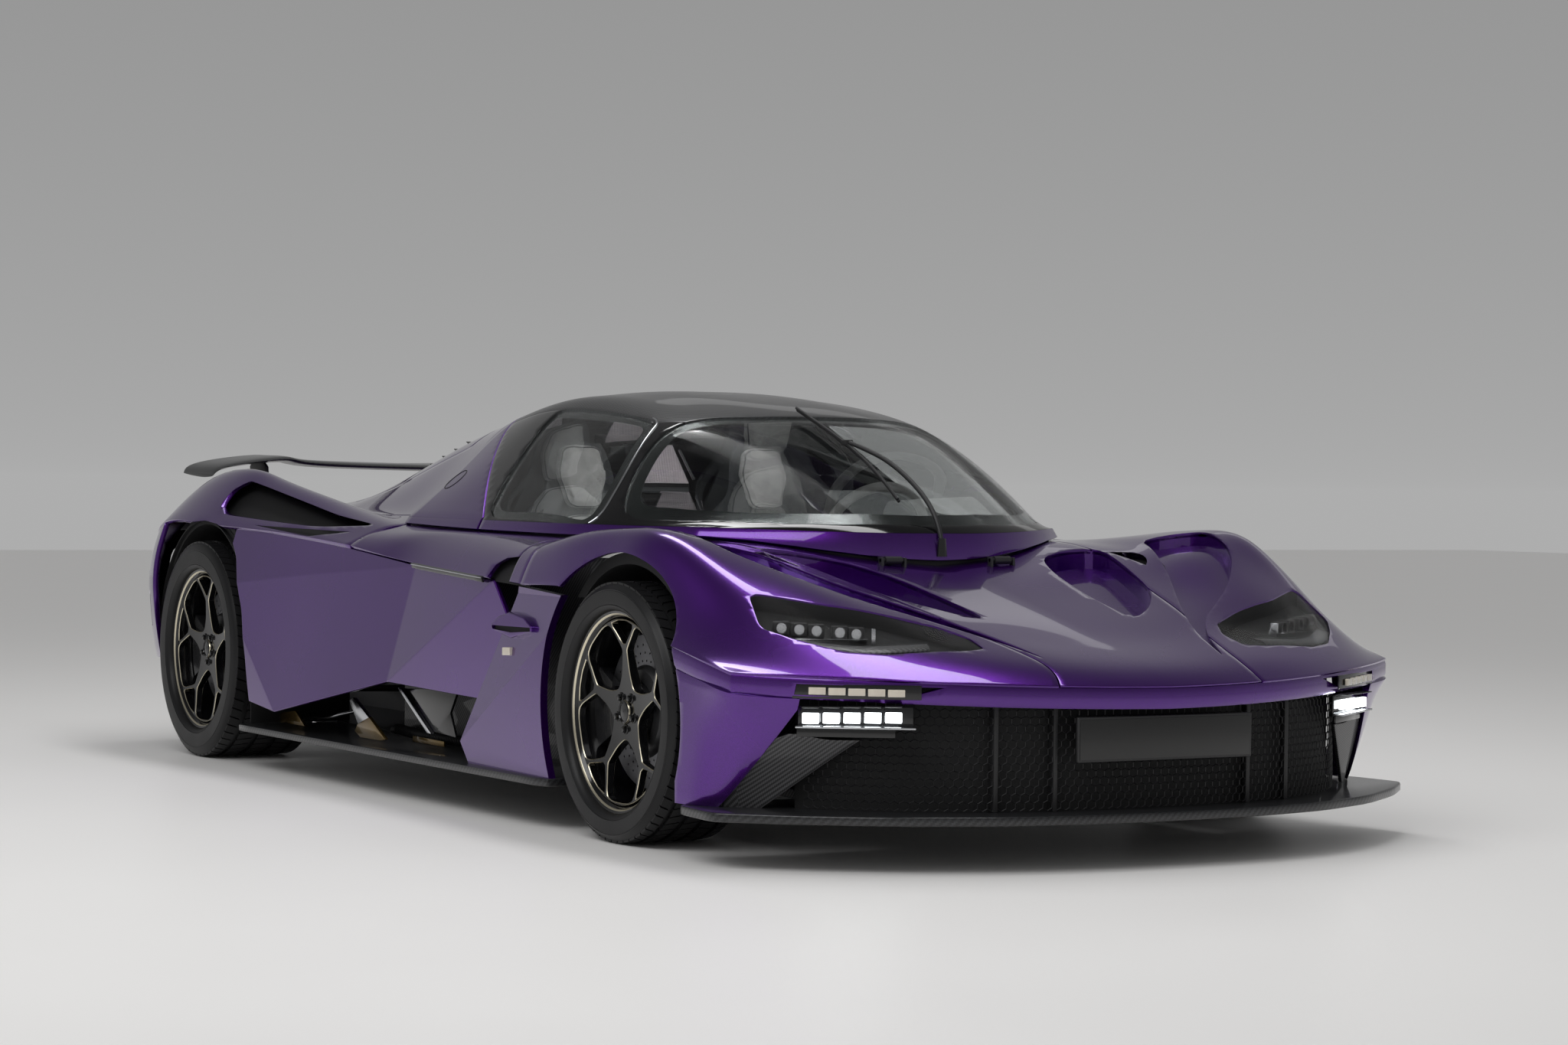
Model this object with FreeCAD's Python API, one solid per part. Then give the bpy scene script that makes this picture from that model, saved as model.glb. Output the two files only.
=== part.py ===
import FreeCAD, Part
import math
import os

# A mid-engined two-seat supercar in millimetres. +X is forward, +Y the car's left, +Z up.
# The origin is on the ground at the middle of the whole outline.

V = FreeCAD.Vector
os.makedirs("parts", exist_ok=True)

# Driving dimensions
wheelbase = 2850.0
front_axle_x = 1275.0
rear_axle_x = front_axle_x - wheelbase
front_tyre_radius = 325.0
rear_tyre_radius = 345.0
front_rim_face = 971.0
rear_rim_face = 977.0
front_tyre_width = 255.0
rear_tyre_width = 315.0
tyre_bulge = 14.0
front_flange_radius = 265.0
rear_flange_radius = 268.0
steer_axis_y = 815.0
skin = 12.0
canopy_skin = 24.0
glass_thickness = 6.0
shut_gap = 6.0
slanted_shut_gap = 12.0
floor_bottom = 112.0
floor_thickness = 22.0
floor_top = floor_bottom + floor_thickness
front_arch_radius = 396.0

# Wheels, brakes, uprights and arms
hub_inset = 71.0
spoke_branch = 152.0
spoke_spread = 15.5
spoke_depth = 26.0
spoke_back = 38.0
stem_start = 52.0
stem_width = 20.0
front_rotor_radius = 192.0
rear_rotor_radius = 186.0
rotor_clearance = 5.5
spindle_radius = 24.0
bearing_play = 0.05
joint_pin_radius = 12.0
joint_pin_play = 0.06
joint_pin_length = 50.0
arm_radius = 11.0
arm_rise = 130.0
front_arm_reach = (-98.0, 180.0)
rear_arm_reach = (-180.0, 180.0)

# Outer skin of the nose, one row per station along the car.
# Columns: x at the centre line, sweep back of the row in mm at y = 1000, then (y, z) at
# the centre, bonnet edge, strip between the ducts, trench, slope, crest, shoulder and arch edge.
nose_rows = (
    (2265, 396, (0, 425), (150, 427), (300, 430), (450, 434), (620, 440), (780, 447), (900, 452), (985, 458)),
    (2180, 400, (0, 470), (150, 472), (290, 478), (440, 486), (610, 494), (770, 500), (900, 496), (1000, 478)),
    (2000, 330, (0, 514), (180, 520), (330, 532), (470, 545), (620, 568), (760, 580), (890, 570), (1006, 500)),
    (1820, 250, (0, 555), (220, 568), (380, 585), (520, 610), (660, 640), (790, 655), (900, 640), (1006, 520)),
    (1600, 150, (0, 607), (260, 622), (430, 640), (570, 668), (690, 705), (810, 728), (915, 715), (1005, 560)),
    (1400, 60, (0, 655), (300, 672), (480, 690), (610, 715), (720, 750), (830, 772), (930, 755), (1004, 600)),
    (1200, 0, (0, 690), (320, 712), (520, 728), (640, 735), (740, 758), (850, 776), (935, 760), (1000, 620)),
    (1000, 0, (0, 700), (340, 740), (540, 745), (660, 745), (760, 755), (860, 765), (945, 748), (998, 630)),
    (780, 0, (0, 700), (360, 745), (560, 748), (690, 745), (780, 742), (870, 738), (945, 715), (990, 628)),
)
bonnet_columns = 3

# Shoulder beside the cabin. Columns: x, sweep, then (y, z) at the belt, deck, brow and waist edge.
shoulder_rows = (
    (780, 0, (780, 742), (870, 738), (945, 715), (990, 628)),
    (500, 0, (775, 746), (850, 738), (920, 702), (960, 638)),
    (0, 0, (770, 752), (830, 742), (885, 704), (920, 658)),
    (-250, 0, (765, 756), (830, 742), (885, 716), (921, 676)),
    (-480, 0, (760, 760), (820, 746), (880, 728), (928, 700)),
)

# Tail clip. Columns: x, sweep, then (y, z) at the centre, deck, rail, base, valley, ridge, crest and edge.
tail_rows = (
    (-480, 0, (0, 1132), (230, 1117), (420, 1062), (570, 910), (690, 790), (760, 760), (820, 746), (928, 700)),
    (-800, 0, (0, 1098), (215, 1080), (385, 1000), (520, 860), (620, 785), (710, 790), (812, 789), (942, 720)),
    (-1100, 0, (0, 1050), (200, 1032), (360, 945), (490, 825), (600, 785), (705, 825), (815, 836), (956, 733)),
    (-1400, 0, (0, 985), (190, 968), (340, 885), (470, 800), (590, 790), (710, 862), (820, 882), (975, 742)),
    (-1600, 0, (0, 930), (185, 918), (330, 850), (460, 790), (585, 800), (715, 890), (825, 908), (985, 750)),
    (-1850, 0, (0, 866), (180, 858), (320, 815), (450, 785), (580, 798), (710, 880), (825, 893), (975, 752)),
    (-2080, 0, (0, 826), (180, 820), (320, 800), (450, 785), (580, 790), (700, 830), (800, 830), (930, 715)),
    (-2270, 0, (0, 810), (180, 806), (310, 795), (440, 783), (560, 780), (670, 785), (750, 765), (850, 660)),
)
deck_columns = 5
lid_rows = (1, 5)
lid_columns = 3

# Canopy glasshouse. Columns: x at the centre, sweep, then (y, z) from the centre line out to the belt.
canopy_rows = (
    (1250, 900, (0, 770), (130, 770), (260, 772), (380, 775), (480, 778), (560, 780)),
    (1100, 700, (0, 880), (130, 878), (270, 868), (400, 845), (520, 815), (630, 780)),
    (900, 420, (0, 985), (140, 981), (280, 965), (420, 930), (560, 865), (690, 781)),
    (680, 200, (0, 1070), (150, 1066), (290, 1050), (430, 1010), (580, 915), (735, 782)),
    (420, 60, (0, 1124), (150, 1121), (290, 1106), (430, 1070), (600, 945), (758, 783)),
    (100, 0, (0, 1158), (150, 1155), (290, 1141), (420, 1105), (600, 955), (765, 784)),
    (-200, 0, (0, 1160), (150, 1157), (290, 1143), (420, 1105), (590, 955), (755, 785)),
    (-480, 0, (0, 1132), (150, 1129), (285, 1110), (420, 1062), (570, 930), (740, 786)),
)
# Foot of the canopy under its belt, from the centre line round to the back: (x, y, z).
canopy_foot = (
    (1264, 0, 699), (1248, 140, 705), (1205, 285, 718), (1140, 410, 734), (1065, 515, 748), (985, 600, 756),
    (850, 690, 757), (705, 768, 753), (572, 781, 753), (385, 782, 755), (100, 778, 758), (-200, 773, 762),
    (-480, 768, 767),
)
foot_flare = 14.0
foot_wall_thickness = 16.0
# Slanted shut line between the canopy and the fixed rear quarters, in side view: (x, z).
canopy_shut = ((75, 700), (62, 790), (-200, 935), (-456, 1071), (-478, 1200))

# Window outlines in plan for the left half: (x, y).
screen_outline = (
    (1228, 0), (1210, 130), (1168, 260), (1095, 380), (1015, 470), (900, 560), (770, 640), (700, 650),
    (640, 600), (590, 530), (550, 450), (545, 385), (575, 290), (620, 190), (635, 100), (640, 0),
)
side_outline = (
    (600, 742), (640, 690), (590, 600), (520, 500), (470, 425), (350, 430), (208, 432), (0, 430), (-110, 430),
    (-100, 500), (-20, 640), (60, 735), (140, 762), (380, 756),
)
# Wiper: (x, y, z) along its blade and its arm.
wiper_blade_line = (
    (640, -75, 1096), (780, -75, 1046), (900, -74, 999), (1000, -73, 953), (1100, -72, 894), (1160, -70, 850),
)
wiper_arm_line = ((1262, 0, 741), (1245, -2, 800), (1043, -10, 945), (930, -60, 1002), (900, -74, 1001))
wiper_radius = 7.0
wiper_base_radius = 16.0
# Openings in the nose skin in plan: (x, y).
inner_duct = (
    (1820, 215), (1600, 225), (1400, 260), (1250, 325), (1190, 430), (1205, 545), (1400, 490), (1611, 425),
    (1739, 325),
)
outer_duct = (
    (2150, 252), (1958, 308), (1818, 372), (1640, 475), (1516, 548), (1300, 650), (1190, 700), (1205, 785),
    (1285, 840), (1479, 785), (1600, 695), (1700, 600), (1780, 500), (1860, 405), (1985, 320),
)
lamp_outline = (
    (1688, 832), (1781, 682), (1831, 530), (1890, 420), (1965, 380), (2040, 385), (2048, 440), (2030, 560),
    (2015, 630), (1964, 722), (1871, 805), (1795, 858),
)
duct_depth = 62.0
outer_duct_depth = 28.2
duct_wall = 5.0
seal_width = 45.0
lamp_depth = 46.0

# Arch of the rear wheel in side view: (x, z).
rear_arch = (
    (-1938, 100), (-1938, 400), (-1912, 550), (-1840, 655), (-1725, 728), (-1647, 748), (-1531, 756),
    (-1418, 745), (-1323, 706), (-1248, 647), (-1192, 568), (-1145, 483), (-1108, 350), (-1092, 262),
    (-1050, 100),
)
liner_inner_y = 600.0
liner_outer_y = 925.0
liner_wall = 4.0
liner_radius = 372.0
rear_liner_radius = 408.0
rear_liner_inner_y = 630.0
rear_liner_outer_y = 960.0

skirt_outline = (
    (935, 900), (935, 985), (880, 1000), (-1150, 1004), (-1190, 985), (-1150, 800), (-1150, 680), (880, 680),
)
skirt_thickness = 20.0
skirt_top = floor_bottom + skirt_thickness

# Lower flank between the wheels: (x, y, z) of its corners and the facets between them.
flank_points = (
    (-1300, 960, 733), (-735, 930, 712), (-53, 910, 652), (519, 942, 630), (620, 925, 480), (430, 912, 300),
    (-168, 945, 317), (-880, 1000, 187), (-1300, 1004, 230), (-735, 952, 606), (-1300, 1012, 560),
)
flank_facets = (
    (0, 1, 9), (0, 9, 10), (10, 9, 7), (10, 7, 8), (9, 6, 7), (1, 2, 9), (2, 6, 9), (2, 3, 6), (3, 4, 6), (4, 5, 6),
)
blade_points = (
    (700, 955, 618), (1100, 990, 600), (1100, 982, skirt_top), (417, 962, skirt_top), (355, 958, 187),
    (690, 952, 600),
)
blade_facets = ((0, 1, 5), (1, 4, 5), (1, 2, 4), (2, 3, 4))
flank_thickness = 18.0
blade_thickness = 22.0
# Mirror pod on each blade, in side view: (x, z), with its inner and outer y.
pod_outline = ((594, 516), (640, 538), (703, 551), (790, 540), (836, 518), (834, 504), (715, 482), (600, 503))
pod_y = (946.0, 986.0)

# Triangular recess in the side of each rear fender, in side view: (x, z).
recess_outline = (
    (-545, 757), (-800, 783), (-1100, 828), (-1400, 872), (-1485, 884), (-1530, 850), (-1510, 800), (-1440, 776),
    (-1100, 760), (-800, 748),
)
recess_depth = 34.0
recess_wall = 8.0
# Slots in the engine lid: how many, first x, pitch, length, inner and outer y.
louvres = (6, -1130.0, 105.0, 46.0, 70.0, 205.0)

# Struts that stand on the skirt in the opening of the flank: side outline (x, z), then y from and to.
strut_foot = 126.0
side_struts = (
    (((-215, 297), (168, 312), (121, 246), (158, 180), (140, strut_foot), (90, strut_foot), (84, 184), (-8, 183)),
     872, 880),
    (((-587, 237), (-556, 248), (-322, 140), (-345, strut_foot), (-520, strut_foot), (-546, 150), (-523, 176)),
     868, 880),
    (((-1155, 164), (-1046, 177), (-969, strut_foot), (-1155, strut_foot)), 850, 862),
)

# Nose mask: the band under the crease, then the corner from the lamp round to the front wheel.
band_height = 40.0
band_depth = 34.0
# Corner rows run from the grille to the wheel: (x, y, z) at the top, half way and at the foot.
corner_rows = (
    ((2113, 620, 388), (1985, 745, 270), (1850, 880, floor_top)),
    ((2024, 780, 395), (1930, 842, 280), (1812, 920, floor_top)),
    ((1944, 900, 400), (1875, 930, 300), (1775, 950, floor_top)),
    ((1881, 985, 408), (1815, 968, 300), (1740, 975, floor_top)),
    ((1780, 1000, 428), (1750, 992, 300), (1710, 990, floor_top)),
    ((1678, 1004, 448), (1672, 1002, 300), (1672, 1000, floor_top)),
)
corner_lamp_reach = (1700.0, 2300.0)
# Lamps in the corners of the nose, in front view: (y, z).
day_lamp_outline = ((632, 371), (846, 366), (868, 322), (650, 314))
turn_lamp_outline = ((662, 423), (850, 429), (862, 409), (648, 401))
grille_top = 396.0
splitter_outline = (
    (2313, 0), (2300, 260), (2255, 480), (2160, 700), (2020, 900), (1895, 1032), (1850, 1035), (1690, 1020),
    (1660, 930), (1660, 560), (1660, 0),
)
plate_size = (9.0, 513.0, 107.0)
plate_centre = (2236.0, 304.0)
plate_back_x = 2200.0
grille_rows = (
    (2225, 0), (2213, 200), (2175, 400), (2112, 560), (2030, 680), (1900, 800),
)
grille_wall = 10.0
grille_strut_ys = (-430.0, -285.0, 285.0, 430.0)
grille_strut = (12.0, 18.0)

# Underbody, tub and inner masses.
tub_outline = (
    (1150, 0), (1150, 430), (900, 590), (600, 690), (100, 722), (-560, 712), (-560, 0),
)
floor_outline = (
    (1660, 0), (1660, 560), (890, 560), (890, 680), (-1150, 680), (-1190, 640), (-1990, 640), (-1990, 0),
)
tub_wall = 55.0
tub_height = 690.0
tub_floor = 30.0
engine_size = (560.0, 520.0, 560.0)
engine_centre = (-930.0, 0.0, 440.0)
subframe_front = (1152.0, 2040.0, 320.0, 430.0)
subframe_rear = (-1990.0, engine_centre[0] - engine_size[0] / 2 - 5, 300.0, 470.0)

# Hinges: axis (x, z), half span of a pair in y, pin radius and sizes of eye and ears.
canopy_hinge = (1290.0, 700.0)
canopy_hinge_y = 170.0
lid_hinge = (-809.0, 1085.0)
lid_hinge_y = 140.0
hinge_pin = 5.0
pin_clearance = 0.3
eye_radius = 10.5
eye_length = 50.0
ear_gap = 6.0
ear_thickness = 7.0
lid_front_gap = 18.0

# Wing, diffuser and tail.
wing_stations = (
    # y, leading x, chord, z, thickness
    (0, -1950, 300, 935, 26), (420, -1955, 300, 945, 26), (520, -1965, 310, 958, 24), (700, -1990, 323, 934, 20),
    (760, -2020, 285, 900, 14),
)
pylon_y = 560.0
pylon_outline = ((-1990, 770), (-2150, 770), (-2200, 950), (-2050, 950))
pylon_thickness = 14.0
exhaust_place = (-2300.0, 120.0, 410.0)
exhaust_radius = 52.0
exhaust_wall = 4.0
exhaust_length = 310.0
exhaust_bore = 300.0
tow_place = (-2280.0, 240.0, 300.0)
tow_radius = 9.0
tow_length = 70.0
# Corners of the tail from the rear wheel back: (x, y, z) at the top, half way and at the foot.
tail_corner_rows = (
    ((-1925, 962, 748), (-1925, 1004, 560), (-1925, 972, 300)),
    ((-2080, 926, 718), (-2080, 962, 550), (-2080, 935, 300)),
    ((-2270, 846, 664), (-2270, 872, 540), (-2270, 850, 330)),
)
tail_corner_thickness = 16.0
# Tail mask and lamps, in front view: (y, z), with x from and to.
tail_mask_sides = ((872, 540), (850, 330))
tail_mask_x = (-2290.0, -2270.0)
tail_lamp_outline = ((430, 700), (800, 690), (838, 640), (838, 600), (818, 600), (790, 665), (430, 678))
tail_lamp_x = (-2298.0, -2290.0)
# Diffuser and its fins, in side view: (x, z).
diffuser_outline = ((-1990, 112), (-2290, 240), (-2290, 256), (-1990, 134))
diffuser_y = 780.0
fin_outline = ((-1995, 112), (-2285, 150), (-2285, 240), (-1995, 118))
fin_ys = (-600, -400, -200, 0, 200, 400, 600)
fin_thickness = 10.0

# Cabin fittings.
seat_y = 310.0
seat_width = 470.0
# Side view of a seat and of the hollow between its bolsters: (x, z).
seat_profile = (
    (350, 215), (370, 335), (300, 352), (60, 290), (-35, 470), (-150, 780), (-195, 1010), (-250, 1010),
    (-262, 940), (-170, 560), (-50, 215),
)
seat_hollow = ((400, 300), (50, 240), (-55, 470), (-165, 780), (-150, 790), (-20, 520), (120, 420), (410, 460))
seat_hollow_half = 165.0
seat_base_half = 150.0
headrest_half = 130.0
dash_profile = ((1100, 520), (1060, 700), (900, 735), (640, 700), (600, 640), (700, 500))
dash_half = 640.0
steering_wheel_centre = (430.0, 310.0, 745.0)
steering_wheel_radius = 172.0
steering_grip = 15.0
steering_axis = (-1.0, 0.0, 0.42)
steering_boss = (42.0, 44.0)
column_size = (30.0, 260.0)


def natural(points, values):
    # second derivatives of a natural cubic through the values at equal steps
    n = len(values)
    upper = [0.0] * n
    second = [0.0] * n
    for i in range(1, n - 1):
        pivot = 4.0 - upper[i - 1]
        upper[i] = 1.0 / pivot
        bend = 6.0 * (values[i + 1] - 2.0 * values[i] + values[i - 1])
        second[i] = (bend - second[i - 1]) / pivot
    for i in range(n - 2, 0, -1):
        second[i] -= upper[i] * second[i + 1]
    return second


def curve(points, steps):
    # a smooth curve through points, with the given number of steps in each span
    axes = [[p[i] for p in points] for i in range(3)]
    bends = [natural(points, a) for a in axes]
    out = []
    for i in range(len(points) - 1):
        for k in range(steps):
            t = k / steps
            s = 1.0 - t
            place = []
            for a, b in zip(axes, bends):
                line = s * a[i] + t * a[i + 1]
                place.append(line + ((s ** 3 - s) * b[i] + (t ** 3 - t) * b[i + 1]) / 6.0)
            out.append(tuple(place))
    out.append(tuple(float(c) for c in points[-1]))
    return out


def patch(rows, steps):
    # a smooth net through rows of points
    fine = [curve(row, steps) for row in rows]
    columns = [curve([row[j] for row in fine], steps) for j in range(len(fine[0]))]
    return [[column[i] for column in columns] for i in range(len(columns[0]))]


def stations(table):
    return [[(x - sweep * (y / 1000.0) ** 2, y, z) for y, z in points] for x, sweep, *points in table]


def inward(p, depth):
    # the way from the outer skin to its inner face depends only on where the point is,
    # so neighbouring panels share their seam
    side = min(max((abs(p[1]) - 750.0) / 250.0, 0.0), 1.0)
    lean = math.radians(8.0 + 52.0 * side)
    turn = math.copysign(math.sin(lean), p[1]) if p[1] else 0.0
    return (p[0], p[1] - turn * depth, p[2] - math.cos(lean) * depth)


def closed(points, facets):
    shell = Part.Shape()
    shell.makeShapeFromMesh((tuple(V(*p) for p in points), tuple(facets)), 0.01)
    solid = Part.makeSolid(Part.Shell(shell.Faces))
    if solid.Volume < 0:
        solid.reverse()
    return solid


def thicken(points, facets, shift):
    # outer facets, the same facets shifted, and a wall along every free edge
    count = len(points)
    inner = [shift(p) for p in points]
    edges = set()
    for f in facets:
        for i in range(3):
            edges.add((f[i], f[(i + 1) % 3]))
    skin_facets = [tuple(f) for f in facets]
    skin_facets += [(f[2] + count, f[1] + count, f[0] + count) for f in facets]
    for a, b in sorted(edges):
        if (b, a) not in edges:
            skin_facets.append((b, a, a + count))
            skin_facets.append((b, a + count, b + count))
    return closed(list(points) + inner, skin_facets)


def net_facets(net):
    wide = len(net[0])
    facets = []
    for i in range(len(net) - 1):
        for j in range(wide - 1):
            a = i * wide + j
            facets.append((a, a + 1, a + wide + 1))
            facets.append((a, a + wide + 1, a + wide))
    return facets


def skin_panel(net, shift):
    return thicken([p for row in net for p in row], net_facets(net), shift)


def mirrored(net):
    # a net over both sides, from its left half that starts at the centre line
    return [[(x, -y, z) for x, y, z in reversed(row[1:])] + list(row) for row in net]


def other_side(shape):
    return shape.mirror(V(0, 0, 0), V(0, 1, 0))


def pair(shape):
    return Part.makeCompound([shape, other_side(shape)])


def prism(outline, low, high):
    # plan outline of (x, y) drawn up from low to high
    wire = Part.makePolygon([V(x, y, low) for x, y in outline] + [V(outline[0][0], outline[0][1], low)])
    return Part.Face(wire).extrude(V(0, 0, high - low))


def side_prism(outline, low, high):
    # side outline of (x, z) drawn from y = low to y = high
    wire = Part.makePolygon([V(x, low, z) for x, z in outline] + [V(outline[0][0], low, outline[0][1])])
    return Part.Face(wire).extrude(V(0, high - low, 0))


def both_halves(outline):
    # full plan outline from a left half whose ends lie on the centre line
    return tuple(outline) + tuple((x, -y) for x, y in reversed(outline[1:-1]))


def box(low, high):
    size = [b - a for a, b in zip(low, high)]
    return Part.makeBox(size[0], size[1], size[2], V(*low))


def tube_y(radius, low, high, x, z):
    return Part.makeCylinder(radius, high - low, V(x, low, z), V(0, 1, 0))


def inset(outline, distance):
    wire = Part.makePolygon([V(x, y, 0) for x, y in outline] + [V(outline[0][0], outline[0][1], 0)])
    small = wire.makeOffset2D(-distance, 2)
    points = [v.Point for v in small.OrderedVertexes]
    return tuple((p.x, p.y) for p in points)


def save(name, shape):
    shape.exportStep("parts/" + name + ".step")
    print(name, "solids", len(shape.Solids), "valid", shape.isValid(), "volume", round(shape.Volume / 1e6, 3))


def on_skin(depth):
    return lambda p: inward(p, depth)


def straight_down(depth):
    return lambda p: (p[0], p[1], p[2] - depth)


def sideways(depth):
    return lambda p: (p[0], p[1] - depth, p[2])


def plan_inward(depth):
    # level shift towards a line inside the car
    def shift(p):
        away = V(p[0] - 1200.0, 0.75 * p[1], 0)
        away.normalize()
        return (p[0] - away.x * depth, p[1] - away.y * depth, p[2])
    return shift


def shifted(net, distance):
    return [[(x, y + distance, z) for x, y, z in row] for row in net]


def lifted(net, height):
    return [[(x, y, z + height) for x, y, z in row] for row in net]


def largest(shape):
    return max(shape.Solids, key=lambda s: s.Volume)


def interpolate(table, x):
    # straight interpolation in a table of (x, value) with falling x
    for (xa, va), (xb, vb) in zip(table, table[1:]):
        if xa >= x >= xb:
            return va + (vb - va) * (xa - x) / (xa - xb)
    return table[0][1] if x > table[0][0] else table[-1][1]


def front_prism(outline, low, high):
    # front outline of (y, z) drawn from x = low to x = high
    wire = Part.makePolygon([V(low, y, z) for y, z in outline] + [V(low, outline[0][0], outline[0][1])])
    return Part.Face(wire).extrude(V(high - low, 0, 0))


def rod(points, radius):
    # round bar through points, with a ball at each bend
    shape = None
    for a, b in zip(points, points[1:]):
        start = V(*a)
        way = V(*b) - start
        piece = Part.makeCylinder(radius, way.Length, start, way)
        shape = piece if shape is None else shape.fuse([piece, Part.makeSphere(radius, start)])
    return shape


def turned(profile, x, z):
    # profile of (radius, y) turned about the axle at x, z
    wire = Part.makePolygon([V(x + r, y, z) for r, y in profile] + [V(x + profile[0][0], profile[0][1], z)])
    return Part.Face(wire).revolve(V(x, 0, z), V(0, 1, 0), 360)


def hinge_parts(x, z, y):
    # the pin with its ears on the fixed side, and the eye on the moving side, for one hinge
    half = eye_length / 2
    pin_half = half + ear_gap + ear_thickness
    pin = tube_y(hinge_pin, y - pin_half, y + pin_half, x, z)
    eye = tube_y(eye_radius, y - half, y + half, x, z)
    hole = tube_y(hinge_pin + pin_clearance, y - half - 1, y + half + 1, x, z)
    return pin, eye, hole, (y - pin_half, y - half - ear_gap), (y + half + ear_gap, y + pin_half)


def wing_section(y, lead, chord, z, thick):
    shape = ((0, 0), (0.12, 0.35), (0.4, 0.5), (0.75, 0.55), (1, 0.62), (1, 0.46), (0.7, -0.1), (0.35, -0.5), (0.1, -0.35))
    return [(lead - chord * a, y, z + thick * b) for a, b in shape]


def wheel_set(x, radius, face, width, flange, rear):
    # tyre, rim, disc and the fixed or steered upright of a left wheel
    seat = flange - 14
    inner = face + tyre_bulge - width
    outer = face + tyre_bulge
    tyre = turned(((seat, inner + 15), (seat + 34, inner), (radius - 18, inner), (radius, inner + 16),
                   (radius, outer - 16), (radius - 18, outer), (seat + 34, outer), (seat, outer - 14)), x, radius)
    back = inner + 15
    drop = seat - 24
    barrel = turned(((seat, back), (seat, face), (flange - 24, face), (drop, face - 30), (drop, back + 20),
                     (flange - 24, back)), x, radius)
    hub = face - hub_inset
    spokes = []
    reach = drop + 3
    for k in range(5):
        angle = 90 + 72 * k
        for side in (-1, 1):
            spread = math.radians(spoke_spread * side)
            bend = V(spoke_branch, 0, 0)
            tip = V(reach * math.cos(spread), 0, reach * math.sin(spread))
            way = tip - bend
            across = V(-way.z, 0, way.x)
            across.normalize()
            corners = [bend + across * 8, tip + across * 6, tip - across * 6, bend - across * 8]
            wire = Part.makePolygon(corners + [corners[0]])
            arm = Part.Face(wire).extrude(V(0, spoke_depth, 0))
            arm.rotate(V(0, 0, 0), V(0, 1, 0), angle)
            arm.translate(V(x, face - spoke_back, radius))
            spokes.append(arm)
        stem_length = spoke_branch + 14 - stem_start
        stem = Part.makeBox(stem_length, spoke_depth, stem_width, V(stem_start, 0, -stem_width / 2))
        stem.rotate(V(0, 0, 0), V(0, 1, 0), angle)
        stem.translate(V(x, face - spoke_back, radius))
        spokes.append(stem)
    centre = tube_y(74, hub, face - 12, x, radius)
    rim = barrel.fuse([centre] + spokes)
    bore = spindle_radius + bearing_play
    rim = rim.cut(tube_y(bore, hub - 5, hub + 20, x, radius))
    rotor = rear_rotor_radius if rear else front_rotor_radius
    disc = turned(((bore, hub - 26), (104, hub - 26), (104, hub - 50), (rotor, hub - 50), (rotor, hub - 18),
                   (112, hub - 18), (112, hub), (bore, hub)), x, radius)
    spindle = tube_y(spindle_radius, hub - 105, hub + 15, x, radius)
    upright = box((x - 40, hub - 105, radius - 105), (x + 40, hub - 62, radius + 105))
    caliper = tube_y(rotor + 34, hub - 88, hub + 8, x, radius).cut(tube_y(128, hub - 90, hub + 10, x, radius))
    caliper = caliper.cut(tube_y(rotor + rotor_clearance, hub - 50 - rotor_clearance, hub - 18 + rotor_clearance, x,
                                 radius))
    slice_points = ((x, radius), (x - 300, radius - 150), (x - 300, radius + 150))
    caliper = caliper.common(side_prism(slice_points, hub - 100, hub + 20))
    lug = box((x - 150, hub - 88, radius - 34), (x - 38, hub - 62, radius + 34))
    joint_y = hub - 85 if rear else steer_axis_y
    pins = []
    for foot_z in (radius + arm_rise - 26, radius - arm_rise - 24):
        pins.append(Part.makeCylinder(joint_pin_radius, joint_pin_length, V(x, joint_y, foot_z)))
    carrier = spindle.fuse([upright, lug, caliper] + pins)
    arms = []
    frame_y = subframe_rear[2] if rear else subframe_front[2]
    for z in (radius + arm_rise, radius - arm_rise):
        eye = Part.makeCylinder(25, 26, V(x, joint_y, z - 13))
        reaches = rear_arm_reach if rear else front_arm_reach
        legs = [rod(((x + reach_x, frame_y, z), (x, joint_y, z)), arm_radius) for reach_x in reaches]
        eye_bore = Part.makeCylinder(joint_pin_radius + joint_pin_play, 60, V(x, joint_y, z - 30))
        arm = eye.fuse(legs).cut([eye_bore, box((x - 300, 0, z - 40), (x + 300, frame_y, z + 40))])
        arms.append(largest(arm))
    return tyre, rim, disc, carrier, arms


# Skin nets
steps = 2
nose = patch(stations(nose_rows), steps)
shoulder = patch(stations(shoulder_rows), steps)
tail = patch(stations(tail_rows), steps)
canopy = patch(stations(canopy_rows), steps)


# Foot of the canopy and the opening of the nose under it
side_rows = canopy[1:]
belt = canopy[0] + [row[-1] for row in side_rows]
foot_heights = tuple((x, z) for x, y, z in canopy_foot)
foot = []
for x, y, z in belt:
    out = V(x - 300.0, y * 1.3, 0) if x > 700 else V(0, 1.0, 0)
    out.normalize()
    foot_x = x + foot_flare * out.x
    foot.append((foot_x, y + foot_flare * out.y, interpolate(foot_heights, foot_x)))
cockpit_edge = [(x, y) for x, y, z in foot] + [(-480, 0)]
cockpit_hole = prism(inset(both_halves(cockpit_edge), seal_width), 500, 900)


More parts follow.
